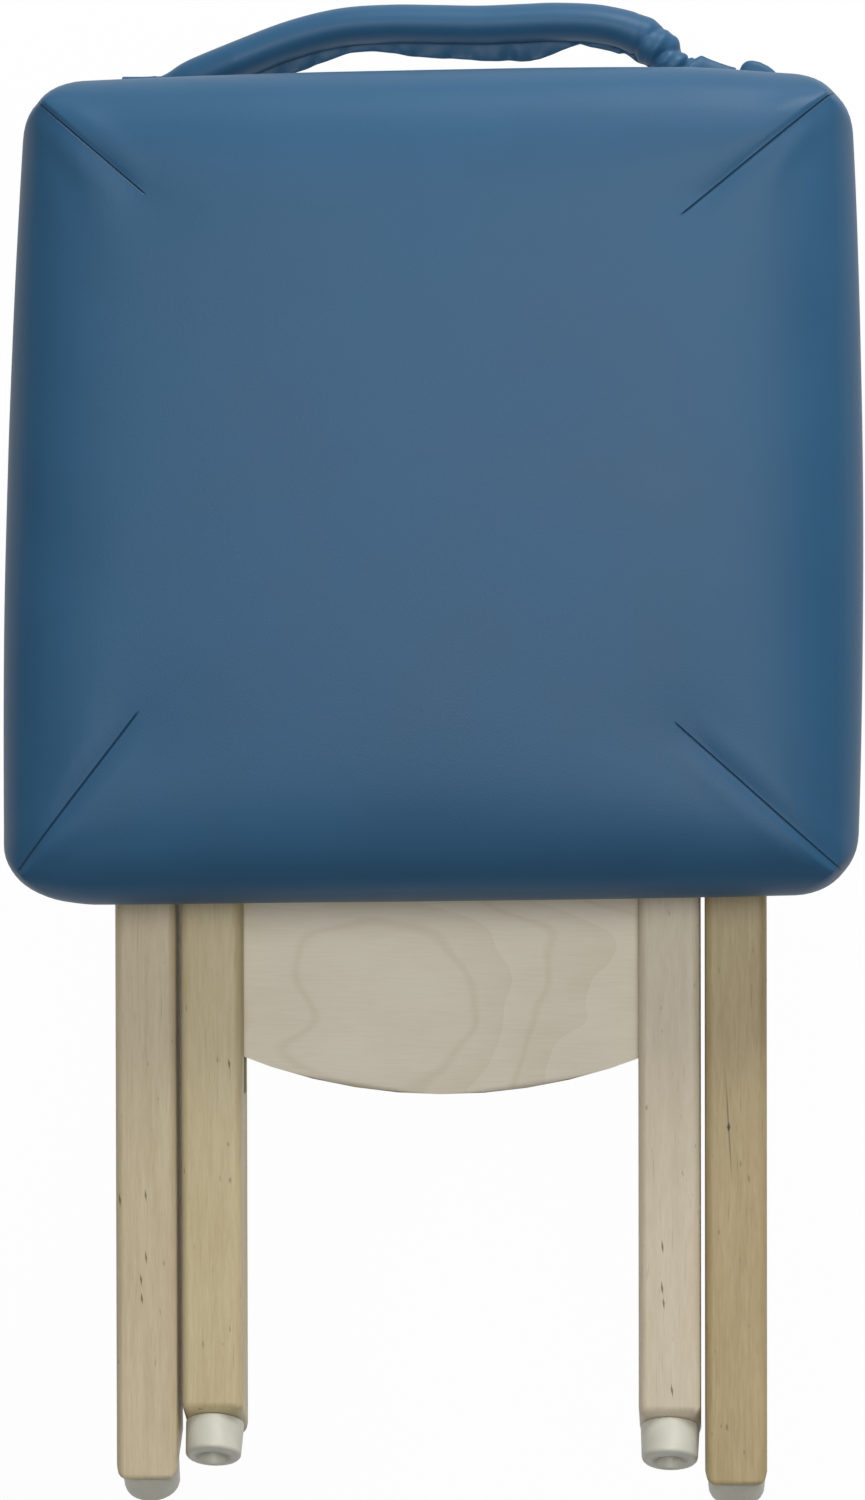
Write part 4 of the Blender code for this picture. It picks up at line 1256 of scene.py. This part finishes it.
@dataclass
class Stool:
    """The whole stool, dressed piece by piece.

    Attributes:
        darts: The seat's darts as (start, end) points from the leg pivot.
        left_flecks: Flecks on the left outer leg.
        right_flecks: Flecks on the right inner leg.
        tube: Radius of the CAD handle's tube.
        peek: How far the right tab's fold shows past its CAD tab.
    """

    frame: dict[str, Any]
    darts: tuple[tuple[Point, Point], ...] = (
        ((-0.1744, 0.2387), (-0.1229, 0.1945)),
        ((0.1783, 0.2390), (0.1101, 0.1833)),
        ((-0.1832, -0.1029), (-0.1267, -0.0309)),
        ((0.1812, -0.1021), (0.1073, -0.0360)),
    )
    left_flecks: Points = (
        (-0.1339, -0.1991), (-0.1458, -0.2011), (-0.1338, -0.2274), (-0.1361, -0.2375), (-0.1357, -0.2464),
    )
    right_flecks: Points = ((0.1009, -0.2209), (0.1007, -0.2397), (0.1014, -0.2464), (0.1051, -0.2858))
    tube: float = 0.0086
    peek: float = 0.0180

    def _finishes(self) -> list[tuple[tuple[str, ...], str, bpy.types.Material]]:
        """What the rigid nodes are made of; each leg has a maple of its own tones and marks.

        Returns:
            Words, one of which is in a node's name, with the record's slot and the finish; the first counts.
        """
        finishes = [
            (("screw", "pivot_", "hinge_"), "steel", SteelFinish()),
            (("_foot_",), "rubber", RubberFinish()),
            (("outer_leg_left",), "maple", MapleFinish(
                "maple_outer_left", flecks=self.left_flecks, seed=1.3,
            )),
            (("outer_leg_right",), "maple", MapleFinish(
                "maple_outer_right", (0.490, 0.390, 0.215), (0.380, 0.288, 0.140),
                knots=((0.1308, -0.1667),), seed=7.9,
            )),
            (("inner_leg_left",), "maple", MapleFinish(
                "maple_inner_left", (0.600, 0.505, 0.310), (0.490, 0.395, 0.215),
                flecks=((-0.0956, -0.1389),), seed=4.1,
            )),
            (("inner_leg_right",), "maple", MapleFinish(
                "maple_inner_right", (0.665, 0.585, 0.445), (0.570, 0.485, 0.350),
                flecks=self.right_flecks, seed=11.7,
            )),
            (("seat_rail", "catch_cleat"), "maple", MapleFinish("maple_rail", seed=15.2)),
            (("top_rail", "top_dowel"), "maple", MapleFinish("maple_bar", across=True, seed=19.4)),
        ]
        for node in ("brace", "seat_board"):
            low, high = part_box(node)
            finishes.append(((node,), "plywood", PlywoodFinish(f"birch_{node}", low[2], high[2] - low[2])))
        return [(words, slot, finish.build()) for words, slot, finish in finishes]

    def rigid(self) -> list[bpy.types.Object]:
        """Dress the legs, the woodwork, the feet and the fasteners.

        Returns:
            The dressed pieces.
        """
        dress, finishes, pieces = RigidDress(self.frame), self._finishes(), []
        for node in self.frame["nodes"]:
            fits = [finish for finish in finishes if any(word in node for word in finish[0])]
            if fits:
                pieces.append(dress.show(node, *fits[0][1:]))
        return pieces

    def soft(self) -> list[bpy.types.Object]:
        """Upholster the seat and sew the handle and its tabs.

        Returns:
            The padded pieces.
        """
        low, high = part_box("pivot_bolt_left")
        pivot = (low[1] + high[1]) / 2
        seams = tuple(Seam((a[0], a[1] + pivot), (b[0], b[1] + pivot)) for a, b in self.darts)
        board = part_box("seat_board")[0][2]
        low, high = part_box("seat_cover")
        cushion = Cushion((0.0, (low[1] + high[1]) / 2), board, seams)
        cover = cushion.build(VinylFinish("seat_vinyl", seams=seams).build())
        plain = VinylFinish("handle_vinyl").build()
        low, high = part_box("handle_cover")
        handle = CarryHandle((low[1] + self.tube, (low[2] + high[2]) / 2)).build(plain)
        tabs = [StrapTab(Side.LEFT).build(plain), StrapTab(Side.RIGHT, peek=self.peek).build(plain)]
        return [cover, handle, *tabs]


def main(frame: dict[str, Any]) -> None:
    """Dress the stool, set up the studio and note the sizes.
    """
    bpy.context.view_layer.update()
    Studio().build()
    stool = Stool(frame)
    for piece in stool.rigid() + stool.soft():
        LOG.info("%s: %d faces", piece.name, len(piece.data.polygons))


if __name__ == "__main__":
    logging.basicConfig(level=logging.INFO, format="%(name)s: %(message)s")
    main(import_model())
